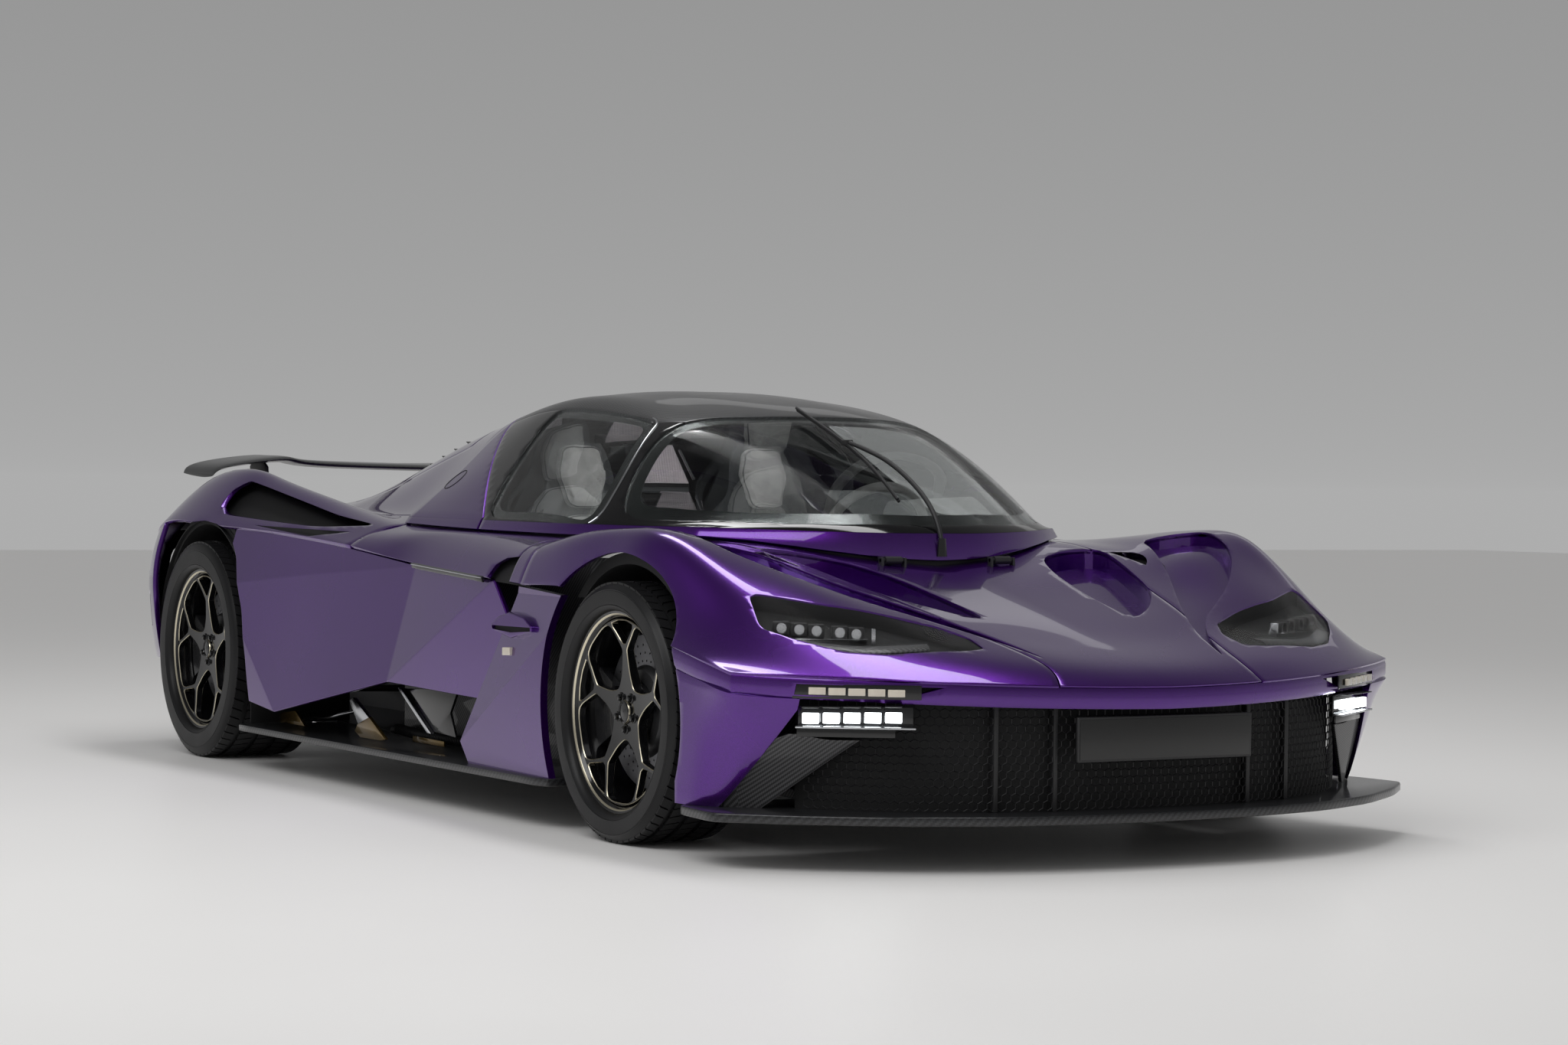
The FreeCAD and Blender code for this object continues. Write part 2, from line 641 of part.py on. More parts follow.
# Nose skin with its ducts and lamps
seam = (bonnet_columns - 1) * steps
bonnet_net = mirrored([row[:seam + 1] for row in nose])
nose_side_net = [row[seam:] for row in nose]
front_arch = tube_y(front_arch_radius, 540, 1100, front_axle_x, front_tyre_radius)
arch_front = front_axle_x + front_arch_radius - 2
front_arch = front_arch.fuse(box((front_axle_x, 540, 60), (arch_front, 1100, front_tyre_radius)))
ducts = [(prism(inner_duct, 300, 900), prism(inset(inner_duct, duct_wall), 300, 900), duct_depth),
         (prism(outer_duct, 300, 900), prism(inset(outer_duct, duct_wall), 300, 900), outer_duct_depth)]
duct_holes = [d[0] for d in ducts]
lamp_hole = prism(lamp_outline, 300, 900)
bonnet_skin = skin_panel(bonnet_net, on_skin(skin))
nose_side_skin = skin_panel(nose_side_net, on_skin(skin))
bonnet = largest(bonnet_skin.cut(duct_holes + [other_side(h) for h in duct_holes] + [cockpit_hole]))
hinge_x, hinge_z = canopy_hinge
canopy_eyes = []
canopy_eye_holes = []
for y in (-canopy_hinge_y, canopy_hinge_y):
    pin, eye, hole, low_ear, high_ear = hinge_parts(hinge_x, hinge_z, y)
    ears = [box((hinge_x - 9, a, hinge_z - 40), (hinge_x + 9, b, hinge_z + 7)) for a, b in (low_ear, high_ear)]
    ears = [largest(e.cut(bonnet)) for e in ears]
    ears = [max(e.Solids, key=lambda s: s.BoundBox.ZMax) for e in ears]
    bonnet = bonnet.fuse(ears + [pin])
    arm = box((hinge_x - 52, y - 14, hinge_z + 1), (hinge_x - 2, y + 14, hinge_z + 9))
    canopy_eyes += [eye, arm]
    canopy_eye_holes.append(hole)
save("bonnet", bonnet)
front_fender = largest(nose_side_skin.cut(duct_holes + [lamp_hole, front_arch, cockpit_hole]))
save("front_fenders", pair(front_fender))
lamp = skin_panel(nose_side_net, on_skin(lamp_depth)).common(prism(inset(lamp_outline, 1.0), 300, 900))
save("headlamps", pair(largest(lamp)))
liner_drum = tube_y(liner_radius + liner_wall, liner_inner_y, liner_outer_y, front_axle_x, front_tyre_radius)
trays = []
for hole, hollow, depth in ducts:
    block = skin_panel(nose, straight_down(skin + depth)).common(hole)
    space = skin_panel(lifted(nose, 5), straight_down(skin + depth)).common(hollow)
    trays.append(largest(block.cut([space, liner_drum])))
save("hood_ducts", Part.makeCompound(trays + [other_side(t) for t in trays]))

# Nose mask, grille, splitter and plate
chain = nose[0] + [row[-1] for row in nose[1:2 * steps + 1]]
band_top = [(x, y, z + 2) for x, y, z in chain]
band_foot = [(x, y, z - skin - band_height) for x, y, z in chain]
band_net = mirrored([band_foot, band_top])
band = skin_panel([list(reversed(row)) for row in band_net], plan_inward(band_depth))
band = largest(band.cut([bonnet_skin, nose_side_skin, other_side(nose_side_skin)]))
corner_net = [[(x, y, z) for x, y, z in column] for column in zip(*corner_rows)]
corner = skin_panel(corner_net, plan_inward(band_depth))
corner = largest(corner.cut([band, front_arch]))
day_lamp_hole = front_prism(day_lamp_outline, *corner_lamp_reach)
turn_lamp_hole = front_prism(turn_lamp_outline, *corner_lamp_reach)
day_lamp = largest(corner.common(day_lamp_hole))
turn_lamp = largest(band.common(turn_lamp_hole))
corner = largest(corner.cut(day_lamp_hole))
band = largest(band.cut([turn_lamp_hole, other_side(turn_lamp_hole)]))
save("nose_mask", band.fuse([corner, other_side(corner)]).removeSplitter())
lamps = [day_lamp, turn_lamp]
save("day_lamps", Part.makeCompound(lamps + [other_side(s) for s in lamps]))

grille_net = mirrored([[(x, y, floor_top) for x, y in grille_rows], [(x, y, grille_top) for x, y in grille_rows]])
grille = skin_panel([list(reversed(row)) for row in grille_net], plan_inward(grille_wall))
grille_faces = tuple((-y, x) for x, y in grille_rows)
for y in grille_strut_ys:
    x = interpolate(grille_faces, -abs(y))
    wide, deep = grille_strut
    grille = grille.fuse(box((x - deep / 2, y - wide / 2, floor_top), (x + deep / 2, y + wide / 2, grille_top)))
grille = largest(grille.cut([band, corner, other_side(corner), day_lamp, other_side(day_lamp)]))
save("grille", grille)
plate_low = (plate_back_x, -plate_size[1] / 2, plate_centre[1] - plate_size[2] / 2)
plate_high = (plate_centre[0] + plate_size[0], plate_size[1] / 2, plate_centre[1] + plate_size[2] / 2)
plate = box(plate_low, plate_high).cut(grille)
plate = max(plate.Solids, key=lambda s: s.BoundBox.XMax)
save("plate", plate)
splitter = prism(both_halves(splitter_outline), floor_bottom, floor_top)
save("splitter", splitter)

# Shoulders, flanks and blades
shoulder_panel = skin_panel(shoulder, on_skin(skin))
tail_side_net = [row[(deck_columns - 1) * steps:] for row in tail]
rear_arch_hole = side_prism(rear_arch, 640, 1100)
tail_side = skin_panel(tail_side_net, on_skin(skin))
recess = side_prism(recess_outline, 700, 1100)
recess_rim = side_prism(inset(recess_outline, -recess_wall), 700, 1100)
tray = skin_panel(shifted(tail_side_net, -3), sideways(recess_depth + recess_wall)).common(recess_rim)
tray = largest(tray.cut(skin_panel(shifted(tail_side_net, 30), sideways(recess_depth + 30)).common(recess)))
rear_fender = largest(tail_side.cut([rear_arch_hole, recess]).fuse(tray))
save("shoulders", pair(shoulder_panel))
save("rear_fenders", pair(rear_fender))
flank = thicken(flank_points, flank_facets, sideways(flank_thickness))
blade = thicken(blade_points, blade_facets, sideways(blade_thickness))
blade = largest(blade.cut([front_arch, front_fender, shoulder_panel]))
blade = blade.fuse(side_prism(pod_outline, *pod_y))
flank = largest(flank.cut([shoulder_panel, rear_fender, front_fender, rear_arch_hole, blade]))
save("side_blades", pair(blade))
save("flanks", pair(flank))
skirt = prism(skirt_outline, floor_bottom, skirt_top).fuse([side_prism(*strut) for strut in side_struts])
save("skirts", pair(skirt))

# Canopy
shell = skin_panel(mirrored(canopy), on_skin(canopy_skin))
foot_net = mirrored([foot, belt])
strip = skin_panel([list(reversed(row)) for row in foot_net], plan_inward(foot_wall_thickness))
rear_side = list(canopy_shut) + [(-700, 1300), (-700, 600)]
rear_cut = side_prism(rear_side, -900, 900)
front_cut = side_prism([(x + slanted_shut_gap, z) for x, z in rear_side], -900, 900)
screen_hole = prism(both_halves(screen_outline), 700, 1300)
side_hole = prism(side_outline, 700, 1300)
side_holes = [side_hole, other_side(side_hole)]
hood = shell.fuse(strip)
canopy_frame = largest(hood.cut([screen_hole] + side_holes + [front_cut]).fuse(canopy_eyes).cut(canopy_eye_holes))
save("canopy_frame", canopy_frame)
quarters = hood.common(rear_cut)
save("roof_quarters", largest(quarters))
pane = skin_panel(mirrored(canopy), on_skin(glass_thickness))
windscreen = largest(pane.common(screen_hole))
save("windscreen", windscreen)
side_glass = largest(pane.common(side_hole).cut(front_cut))
save("side_glass", pair(side_glass))
wiper_base = Part.makeCylinder(wiper_base_radius, 34, V(1264, 0, 716), V(0, 0, 1))
wiper = rod(wiper_blade_line, wiper_radius).fuse([rod(wiper_arm_line, wiper_radius), wiper_base])
save("wiper", largest(wiper.cut([canopy_frame, windscreen])))

# Tail deck, lid, corners, mask, wing
deck_net = mirrored([row[:(deck_columns - 1) * steps + 1] for row in tail])
deck_full = skin_panel(deck_net, on_skin(skin))
lid_stations = tail_rows[lid_rows[0]:lid_rows[1] + 1]
lid_edge = [(row[0], row[1 + lid_columns][0]) for row in lid_stations]
lid_outline = both_halves([(lid_edge[0][0], 0)] + lid_edge + [(lid_edge[-1][0], 0)])
lid_space = prism(inset(lid_outline, shut_gap), 600, 1300)
lid_space = lid_space.common(box((-2400, -900, 600), (lid_edge[0][0] - lid_front_gap, 900, 1300)))
count, first, pitch, long, inner, outer = louvres
slots = [box((first - pitch * k - long, inner, 600), (first - pitch * k, outer, 1300)) for k in range(count)]
lid = largest(deck_full.common(lid_space).cut(slots + [other_side(slot) for slot in slots]))
deck = largest(deck_full.cut(prism(lid_outline, 600, 1300)))
hinge_x, hinge_z = lid_hinge
for y in (-lid_hinge_y, lid_hinge_y):
    pin, eye, hole, low_ear, high_ear = hinge_parts(hinge_x, hinge_z, y)
    eye_reach = eye_length / 2 + ear_gap
    deck = deck.cut(tube_y(eye_radius + ear_gap, y - eye_reach, y + eye_reach, hinge_x, hinge_z))
    ears = [box((hinge_x - 7, a, hinge_z - 9), (hinge_x + 24, b, hinge_z + 5)) for a, b in (low_ear, high_ear)]
    deck = deck.fuse(ears + [pin])
    lid = lid.fuse(eye).cut(hole)
save("rear_deck", deck)
save("engine_lid", lid)
tail_corner_net = [list(column) for column in zip(*tail_corner_rows)]
tail_corner = skin_panel(tail_corner_net, sideways(tail_corner_thickness))
tail_corner = largest(tail_corner.cut([rear_fender, rear_arch_hole]))
mask_half = [(y, z) for x, y, z in tail[-1]] + list(tail_mask_sides)
mask_outline = mask_half + [(-y, z) for y, z in reversed(mask_half[1:])]
exhaust_x, exhaust_y, exhaust_z = exhaust_place
pipes = []
bores = []
for y in (-exhaust_y, exhaust_y):
    mouth = V(exhaust_x, y, exhaust_z)
    pipes.append(Part.makeCylinder(exhaust_radius, exhaust_length, mouth, V(1, 0, 0)))
    bores.append(Part.makeCylinder(exhaust_radius - exhaust_wall, exhaust_bore, mouth - V(1, 0, 0), V(1, 0, 0)))
tail_mask = front_prism(mask_outline, *tail_mask_x).cut(pipes)
save("tail_mask", tail_mask)
save("tail_corners", pair(tail_corner))
save("exhaust", Part.makeCompound([p.cut(b) for p, b in zip(pipes, bores)]))
save("tail_lamps", pair(front_prism(tail_lamp_outline, *tail_lamp_x)))


sections = [wing_section(*s) for s in wing_stations]
sections = [wing_section(-s[0], *s[1:]) for s in reversed(wing_stations[1:])] + sections
ring = len(sections[0])
wing_points = [p for s in sections for p in s]
wing_facets = []
for i in range(len(sections) - 1):
    for j in range(ring):
        a = i * ring + j
        b = i * ring + (j + 1) % ring
        wing_facets.append((a, b, b + ring))
        wing_facets.append((a, b + ring, a + ring))
last = (len(sections) - 1) * ring
for j in range(1, ring - 1):
    wing_facets.append((0, j + 1, j))
    wing_facets.append((last, last + j, last + j + 1))
blade_wing = closed(wing_points, wing_facets)
pylon = side_prism(pylon_outline, pylon_y - pylon_thickness / 2, pylon_y + pylon_thickness / 2)
deck_skins = [tail_side, other_side(tail_side), deck_full]
pylons = []
for p in (pylon, other_side(pylon)):
    pylons.append(largest(p.cut(deck_skins + [blade_wing])))
save("wing", blade_wing.fuse(pylons))

# Underbody, tub and masses
floor = prism(both_halves(floor_outline), floor_bottom, floor_top)
save("floor", floor)
tub_plan = both_halves(tub_outline)
tub = prism(tub_plan, floor_top, tub_height).cut(prism(inset(tub_plan, tub_wall), floor_top + tub_floor, 900))
save("tub", tub)
low = [c - s / 2 for c, s in zip(engine_centre, engine_size)]
engine = box((low[0], low[1], floor_top), (low[0] + engine_size[0], -low[1], floor_top + engine_size[2]))
save("engine_block", engine)
frames = []
for from_x, to_x, half_width, top in (subframe_front, subframe_rear):
    frames.append(box((from_x, -half_width, floor_top), (to_x, half_width, top)))
tow_start = V(*tow_place)
tow_boss = Part.makeCylinder(tow_radius * 2, subframe_rear[0] - tow_place[0], tow_start, V(1, 0, 0))
tow_hole = Part.makeCylinder(tow_radius, tow_length, tow_start, V(1, 0, 0))
frames[1] = frames[1].fuse(tow_boss).cut(tow_hole)
save("subframes", Part.makeCompound(frames))
diffuser = side_prism(diffuser_outline, -diffuser_y, diffuser_y)
fins = [side_prism(fin_outline, y - fin_thickness / 2, y + fin_thickness / 2) for y in fin_ys]
save("diffuser", diffuser.fuse(fins))

# Wheel arch liners
liner = liner_drum.cut(tube_y(liner_radius, liner_inner_y - 5, liner_outer_y + 5, front_axle_x, front_tyre_radius))
liner = liner.common(box((800, 500, front_tyre_radius), (1800, 1000, 800)))
drum = rear_liner_radius + liner_wall
rear_liner = tube_y(drum, rear_liner_inner_y, rear_liner_outer_y, rear_axle_x, rear_tyre_radius)
rear_liner = rear_liner.cut(tube_y(rear_liner_radius, 600, 970, rear_axle_x, rear_tyre_radius))
rear_liner = rear_liner.common(box((-2100, 500, rear_tyre_radius), (-1100, 1000, 900)))
foot_wall = box((rear_axle_x + rear_liner_radius, rear_liner_inner_y, floor_top),
                (rear_axle_x + drum, rear_liner_outer_y, rear_tyre_radius))
rear_liner = largest(rear_liner.fuse(foot_wall).cut([tail_corner, rear_fender]))
save("arch_liners", Part.makeCompound([liner, rear_liner, other_side(liner), other_side(rear_liner)]))


front = wheel_set(front_axle_x, front_tyre_radius, front_rim_face, front_tyre_width, front_flange_radius, False)
rear = wheel_set(rear_axle_x, rear_tyre_radius, rear_rim_face, rear_tyre_width, rear_flange_radius, True)
for place, parts in (("front", front), ("rear", rear)):
    for name, shape in zip(("tyre", "rim", "disc"), parts):
        save(name + "_" + place + "_left", shape)
        save(name + "_" + place + "_right", other_side(shape))
save("upright_front_left", front[3])
save("upright_front_right", other_side(front[3]))
save("uprights_rear", pair(rear[3]))
arms = front[4] + rear[4]
save("suspension_arms", Part.makeCompound(arms + [other_side(a) for a in arms]))

# Cabin
seat_low = seat_y - seat_width / 2
seat_high = seat_y + seat_width / 2
seat = side_prism(seat_profile, seat_low, seat_high)
seat_front = (
    (seat_low, 0), (seat_high, 0), (seat_high, 790), (seat_y + headrest_half, 1010), (seat_y - headrest_half, 1010),
    (seat_low, 790),
)
seat = seat.common(front_prism(seat_front, -600, 600))
seat = seat.cut(side_prism(seat_hollow, seat_y - seat_hollow_half, seat_y + seat_hollow_half))
seat_base = box((-40, seat_y - seat_base_half, floor_top + tub_floor), (310, seat_y + seat_base_half, 215))
save("seats", pair(seat.fuse(seat_base)))
dash = side_prism(dash_profile, -dash_half, dash_half).common(prism(inset(tub_plan, tub_wall), 100, 900))
axis = V(*steering_axis)
axis.normalize()
centre = V(*steering_wheel_centre)
boss_half = steering_boss[1] / 2
column = Part.makeCylinder(column_size[0], column_size[1], centre - axis * (boss_half + pin_clearance), axis * -1)
save("dashboard", largest(dash.fuse(column)))
wheel_ring = Part.makeTorus(steering_wheel_radius - steering_grip, steering_grip, centre, axis)
boss = Part.makeCylinder(steering_boss[0], steering_boss[1], centre - axis * boss_half, axis)
cross = Part.makeBox(2 * steering_wheel_radius - 24, 34, 16, V(-steering_wheel_radius + 12, -17, -8))
cross.rotate(V(0, 0, 0), V(0, 0, 1), 90)
turn = FreeCAD.Rotation(V(0, 0, 1), axis)
cross.Placement = FreeCAD.Placement(centre, turn).multiply(cross.Placement)
save("steering_wheel", wheel_ring.fuse([boss, cross]))
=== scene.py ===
# Looks of a mid-engined supercar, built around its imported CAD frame.
import bpy, math, random
import numpy as np
from mathutils import Matrix, Vector


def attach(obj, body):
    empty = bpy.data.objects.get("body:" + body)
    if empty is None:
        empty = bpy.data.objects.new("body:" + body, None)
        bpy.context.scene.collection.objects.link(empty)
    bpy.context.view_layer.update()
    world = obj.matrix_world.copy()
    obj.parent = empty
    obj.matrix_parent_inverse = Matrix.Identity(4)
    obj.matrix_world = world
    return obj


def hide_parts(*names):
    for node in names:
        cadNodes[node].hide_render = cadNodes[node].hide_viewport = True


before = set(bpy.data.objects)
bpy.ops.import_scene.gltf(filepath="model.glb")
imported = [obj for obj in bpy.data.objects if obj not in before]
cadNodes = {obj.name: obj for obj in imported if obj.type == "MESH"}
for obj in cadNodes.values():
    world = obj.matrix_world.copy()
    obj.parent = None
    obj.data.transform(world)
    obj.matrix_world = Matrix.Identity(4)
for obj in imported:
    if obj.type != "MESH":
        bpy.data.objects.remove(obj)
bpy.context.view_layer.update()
random.seed(11)
print("frame loaded,", len(cadNodes), "CAD nodes")

cameraSetup = {"place": (8.6836, -4.8620, 0.8989), "yaw": 149.45, "pitch": -0.681, "roll": 0.675,
    "focalPixels": 4414.2, "imageWidth": 2048}
studio = {"floor": (0.84, 0.83, 0.82), "horizon": 0.42, "zenith": 0.06, "fill": 0.50}


def makeCamera(setup):
    yaw, pitch, roll = (math.radians(setup[k]) for k in ("yaw", "pitch", "roll"))
    forward = Vector((math.cos(yaw) * math.cos(pitch), math.sin(yaw) * math.cos(pitch), math.sin(pitch)))
    side = forward.cross(Vector((0, 0, 1))).normalized()
    lift = side.cross(forward)
    right = math.cos(roll) * side + math.sin(roll) * lift
    up = -math.sin(roll) * side + math.cos(roll) * lift
    turn = Matrix((right, up, -forward)).transposed().to_4x4()
    bpy.ops.object.camera_add()
    camera = bpy.context.object
    camera.matrix_world = Matrix.Translation(setup["place"]) @ turn
    camera.data.sensor_width = 36
    camera.data.lens = setup["focalPixels"] / setup["imageWidth"] * 36
    camera.data.clip_end = 200
    bpy.context.scene.camera = camera


def addSoftbox(name, place, target, width, depth, power):
    bpy.ops.object.light_add(type="AREA", location=place)
    lamp = bpy.context.object
    lamp.name = name
    lamp.data.shape = "RECTANGLE"
    lamp.data.size, lamp.data.size_y, lamp.data.energy = width, depth, power
    lamp.rotation_euler = (Vector(target) - Vector(place)).to_track_quat("-Z", "Y").to_euler()
    return lamp


# small helpers
def clearSelection():
    if bpy.context.mode != "OBJECT":
        bpy.ops.object.mode_set(mode="OBJECT")
    bpy.ops.object.select_all(action="DESELECT")


def makeActive(obj):
    clearSelection()
    obj.select_set(True)
    bpy.context.view_layer.objects.active = obj


def editAll(obj):
    makeActive(obj)
    bpy.ops.object.mode_set(mode="EDIT")
    bpy.ops.mesh.select_all(action="SELECT")


def leaveEdit():
    bpy.ops.object.mode_set(mode="OBJECT")


def settle():
    bpy.ops.object.transform_apply(location=True, rotation=True, scale=True)


def closeUp(distance=None):
    # every face turned outwards, with close corners merged first where a distance is given
    bpy.ops.mesh.select_all(action="SELECT")
    if distance:
        bpy.ops.mesh.remove_doubles(threshold=distance)
    bpy.ops.mesh.normals_make_consistent(inside=False)
    leaveEdit()


def flipped(obj):
    editAll(obj)
    bpy.ops.mesh.flip_normals()
    leaveEdit()
    return obj


def applyModifier(obj, kind, **settings):
    makeActive(obj)
    modifier = obj.modifiers.new(kind.title(), kind)
    for key, value in settings.items():
        setattr(modifier, key, value)
    bpy.ops.object.modifier_apply(modifier=modifier.name)
    return obj


def joinAll(pieces, name):
    makeActive(pieces[0])
    for piece in pieces:
        piece.select_set(True)
    if len(pieces) > 1:
        bpy.ops.object.join()
    obj = bpy.context.view_layer.objects.active
    obj.name = name
    return obj


def copyOf(obj, name):
    twin = obj.copy()
    twin.data = obj.data.copy()
    twin.name = name
    bpy.context.scene.collection.objects.link(twin)
    return twin


def mirrorCopy(obj, name):
    # the same piece on the car's other side, with its faces still outwards
    twin = copyOf(obj, name)
    twin.data.transform(Matrix.Scale(-1, 4, (0, 1, 0)))
    return flipped(twin)


def withTwin(obj):
    return joinAll([obj, mirrorCopy(obj, obj.name + "Twin")], obj.name)


def dress(obj, material, body="root", replaced=(), angle=32):
    makeActive(obj)
    settle()
    if angle:
        bpy.ops.object.shade_smooth_by_angle(angle=math.radians(angle))
    if material:
        painted(obj, material)
    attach(obj, body)
    if replaced:
        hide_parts(*replaced)
    return obj


def painted(obj, material):
    obj.data.materials.clear()
    obj.data.materials.append(material)
    return obj


def dressWhole(pieces, name, node):
    return dress(joinAll(pieces, name), None, replaced=[node])


def dressPair(pieces, name, node):
    return dress(withTwin(joinAll(pieces, name)), None, replaced=[node])


def cutAway(obj, cutters, operation="DIFFERENCE", keep=False):
    for cutter in cutters:
        applyModifier(obj, "BOOLEAN", operation=operation, object=cutter, solver="EXACT")
        if not keep:
            bpy.data.objects.remove(cutter)
    return obj


def softenEdges(obj, width, segments=2, angle=35):
    return applyModifier(obj, "BEVEL", width=width, segments=segments, limit_method="ANGLE",
        angle_limit=math.radians(angle), use_clamp_overlap=True, miter_outer="MITER_ARC")


def worked(obj, edge, material, segments=2):
    # bevelled and painted
    return painted(softenEdges(obj, edge, segments), material)


def addBox(name, low, high):
    clearSelection()
    size = [b - a for a, b in zip(low, high)]
    bpy.ops.mesh.primitive_cube_add(size=1, location=[(a + b) / 2 for a, b in zip(low, high)], scale=size)
    obj = bpy.context.object
    obj.name = name
    settle()
    return obj


def addRod(name, start, end, radius, sides=24, endRadius=None):
    clearSelection()
    a, b = Vector(start), Vector(end)
    way = b - a
    bpy.ops.mesh.primitive_cone_add(vertices=sides, radius1=radius, radius2=endRadius or radius,
        depth=way.length, location=(a + b) / 2, rotation=way.to_track_quat("Z", "Y").to_euler())
    obj = bpy.context.object
    obj.name = name
    settle()
    return obj


def softBox(name, low, high, edge, material, segments=2):
    return worked(addBox(name, low, high), edge, material, segments)


def outlineSolid(name, points, depth):
    # a flat outline drawn out along a vector, all in metres
    clearSelection()
    bpy.ops.mesh.primitive_circle_add(vertices=len(points), radius=1, fill_type="NGON")
    obj = bpy.context.object
    obj.name = name
    for vertex, point in zip(obj.data.vertices, points):
        vertex.co = point
    editAll(obj)
    bpy.ops.mesh.extrude_region_move(TRANSFORM_OT_translate={"value": depth})
    closeUp()
    return obj


def planSolid(name, outline, low, high):
    return outlineSolid(name, [(x / 1000, y / 1000, low / 1000) for x, y in outline],
        (0, 0, (high - low) / 1000))


def sideSolid(name, outline, low, high):
    return outlineSolid(name, [(x / 1000, low / 1000, z / 1000) for x, z in outline],
        (0, (high - low) / 1000, 0))


def frontSolid(name, outline, low, high):
    return outlineSolid(name, [(low / 1000, y / 1000, z / 1000) for y, z in outline],
        ((high - low) / 1000, 0, 0))


def spunSolid(name, profile, centre, steps=72):
    # a closed profile of (radius, y) in mm turned about the axle through centre
    clearSelection()
    x, y0, z = centre
    bpy.ops.mesh.primitive_circle_add(vertices=len(profile), radius=1, fill_type="NOTHING")
    obj = bpy.context.object
    obj.name = name
    for vertex, (radius, y) in zip(obj.data.vertices, profile):
        vertex.co = (x + radius / 1000, y0 + y / 1000, z)
    editAll(obj)
    bpy.ops.mesh.spin(steps=steps, angle=2 * math.pi, center=(x, y0, z), axis=(0, 1, 0))
    closeUp(0.00005)
    return obj


def tubeAlong(name, points, radius, sides=5, cyclic=False):
    # a round tube along points in metres
    clearSelection()
    line = bpy.data.curves.new(name, "CURVE")
    line.dimensions = "3D"
    spline = line.splines.new("NURBS")
    spline.points.add(len(points) - 1)
    for place, point in zip(spline.points, points):
        place.co = (*point, 1)
    spline.use_cyclic_u = cyclic
    spline.order_u = 3
    spline.use_endpoint_u = not cyclic
    spline.resolution_u = 4
    line.bevel_depth = radius
    line.bevel_resolution = sides
    line.use_fill_caps = True
    obj = bpy.data.objects.new(name, line)
    bpy.context.scene.collection.objects.link(obj)
    makeActive(obj)
    bpy.ops.object.convert(target="MESH")
    return bpy.context.object


# smooth nets through short tables
def splineWeights(count, steps):
    # how much each table value counts at each sample of a natural cubic
    system, right = np.eye(count), np.zeros((count, count))
    for i in range(1, count - 1):
        system[i, i - 1:i + 2] = (1, 4, 1)
        right[i, i - 1:i + 2] = (6, -12, 6)
    bends = np.linalg.solve(system, right)
    rows = []
    for k in range((count - 1) * steps + 1):
        i = min(k // steps, count - 2)
        t = k / steps - i
        s = 1 - t
        row = ((s ** 3 - s) * bends[i] + (t ** 3 - t) * bends[i + 1]) / 6
        row[i] += s
        row[i + 1] += t
        rows.append(row)
    return np.array(rows)


def gridNet(rows, alongSteps, acrossSteps):
    rows = np.array(rows, float)
    along, across = splineWeights(rows.shape[0], alongSteps), splineWeights(rows.shape[1], acrossSteps)
    return np.einsum("ai,ijk,bj->abk", along, rows, across)


def smoothNet(table, steps):
    rows = [[(x - sweep * (y / 1000) ** 2, y, z) for y, z in points] for x, sweep, *points in table]
    return gridNet(rows, steps, steps)


def bothSides(net):
    return np.concatenate([net[:, :0:-1] * (1, -1, 1), net], axis=1)


def narrowed(net, gap, sides="frlh"):
    # the net's edges drawn in by a gap in mm: f front, r rear, l low column, h high column
    net = net.copy()
    for side, pick in (("f", (0, 1, 0)), ("r", (-1, -2, 0)), ("l", (0, 1, 1)), ("h", (-1, -2, 1))):
        if side not in sides:
            continue
        edge, nextRow, axis = pick
        a = np.take(net, edge, axis)
        b = np.take(net, nextRow, axis)
        share = gap / np.maximum(np.linalg.norm(b - a, axis=1, keepdims=True), 1e-6)
        moved = a + (b - a) * np.minimum(share, 0.8)
        if axis == 0:
            net[edge] = moved
        else:
            net[:, edge] = moved
    return net


def netSheet(name, net, facing=(0, 0, 1)):
    # a grid primitive whose corners are laid on the net
    rows, columns = net.shape[:2]
    clearSelection()
    bpy.ops.mesh.primitive_grid_add(x_subdivisions=columns - 1, y_subdivisions=rows - 1, size=2)
    obj = bpy.context.object
    obj.name = name
    flat = np.zeros(len(obj.data.vertices) * 3)
    obj.data.vertices.foreach_get("co", flat)
    flat = flat.reshape(-1, 3)
    column = np.rint((flat[:, 0] + 1) / 2 * (columns - 1)).astype(int)
    row = np.rint((flat[:, 1] + 1) / 2 * (rows - 1)).astype(int)
    obj.data.vertices.foreach_set("co", (net[row, column] / 1000).ravel())
    obj.data.update()
    lean = sum((p.normal * p.area for p in obj.data.polygons), Vector())
    return flipped(obj) if lean.dot(Vector(facing)) < 0 else obj


def netPanel(name, net, thickness, facing=(0, 0, 1)):
    return applyModifier(netSheet(name, net, facing), "SOLIDIFY", thickness=thickness / 1000, offset=-1,
        use_even_offset=False)


# materials: shared effects are groups, shaders stay in each material
def newGroup(name, inputs, outputs):
    group = bpy.data.node_groups.new(name, "ShaderNodeTree")
    for label, value in inputs.items():
        socket = group.interface.new_socket(label, in_out="INPUT", socket_type="NodeSocketFloat")
        socket.default_value = value
    for label in outputs:
        group.interface.new_socket(label, in_out="OUTPUT", socket_type="NodeSocketFloat")
    return group, group.nodes.new("NodeGroupInput").outputs, group.nodes.new("NodeGroupOutput").inputs


def feed(tree, node, values):
    # a number, a colour or another node's output put into each named socket
    for key, value in values.items():
        if isinstance(value, (int, float)):
            node.inputs[key].default_value = value
        elif isinstance(value, (tuple, list)):
            node.inputs[key].default_value = (*value[:3], 1)
        else:
            tree.links.new(value, node.inputs[key])
    return node.outputs


def calc(tree, operation, *values):
    node = tree.nodes.new("ShaderNodeMath")
    node.operation = operation
    return feed(tree, node, dict(enumerate(values)))[0]


def blendColors(tree, factor, first, second):
    node = tree.nodes.new("ShaderNodeMix")
    node.data_type = "RGBA"
    return feed(tree, node, {0: factor, 6: first, 7: second})[2]


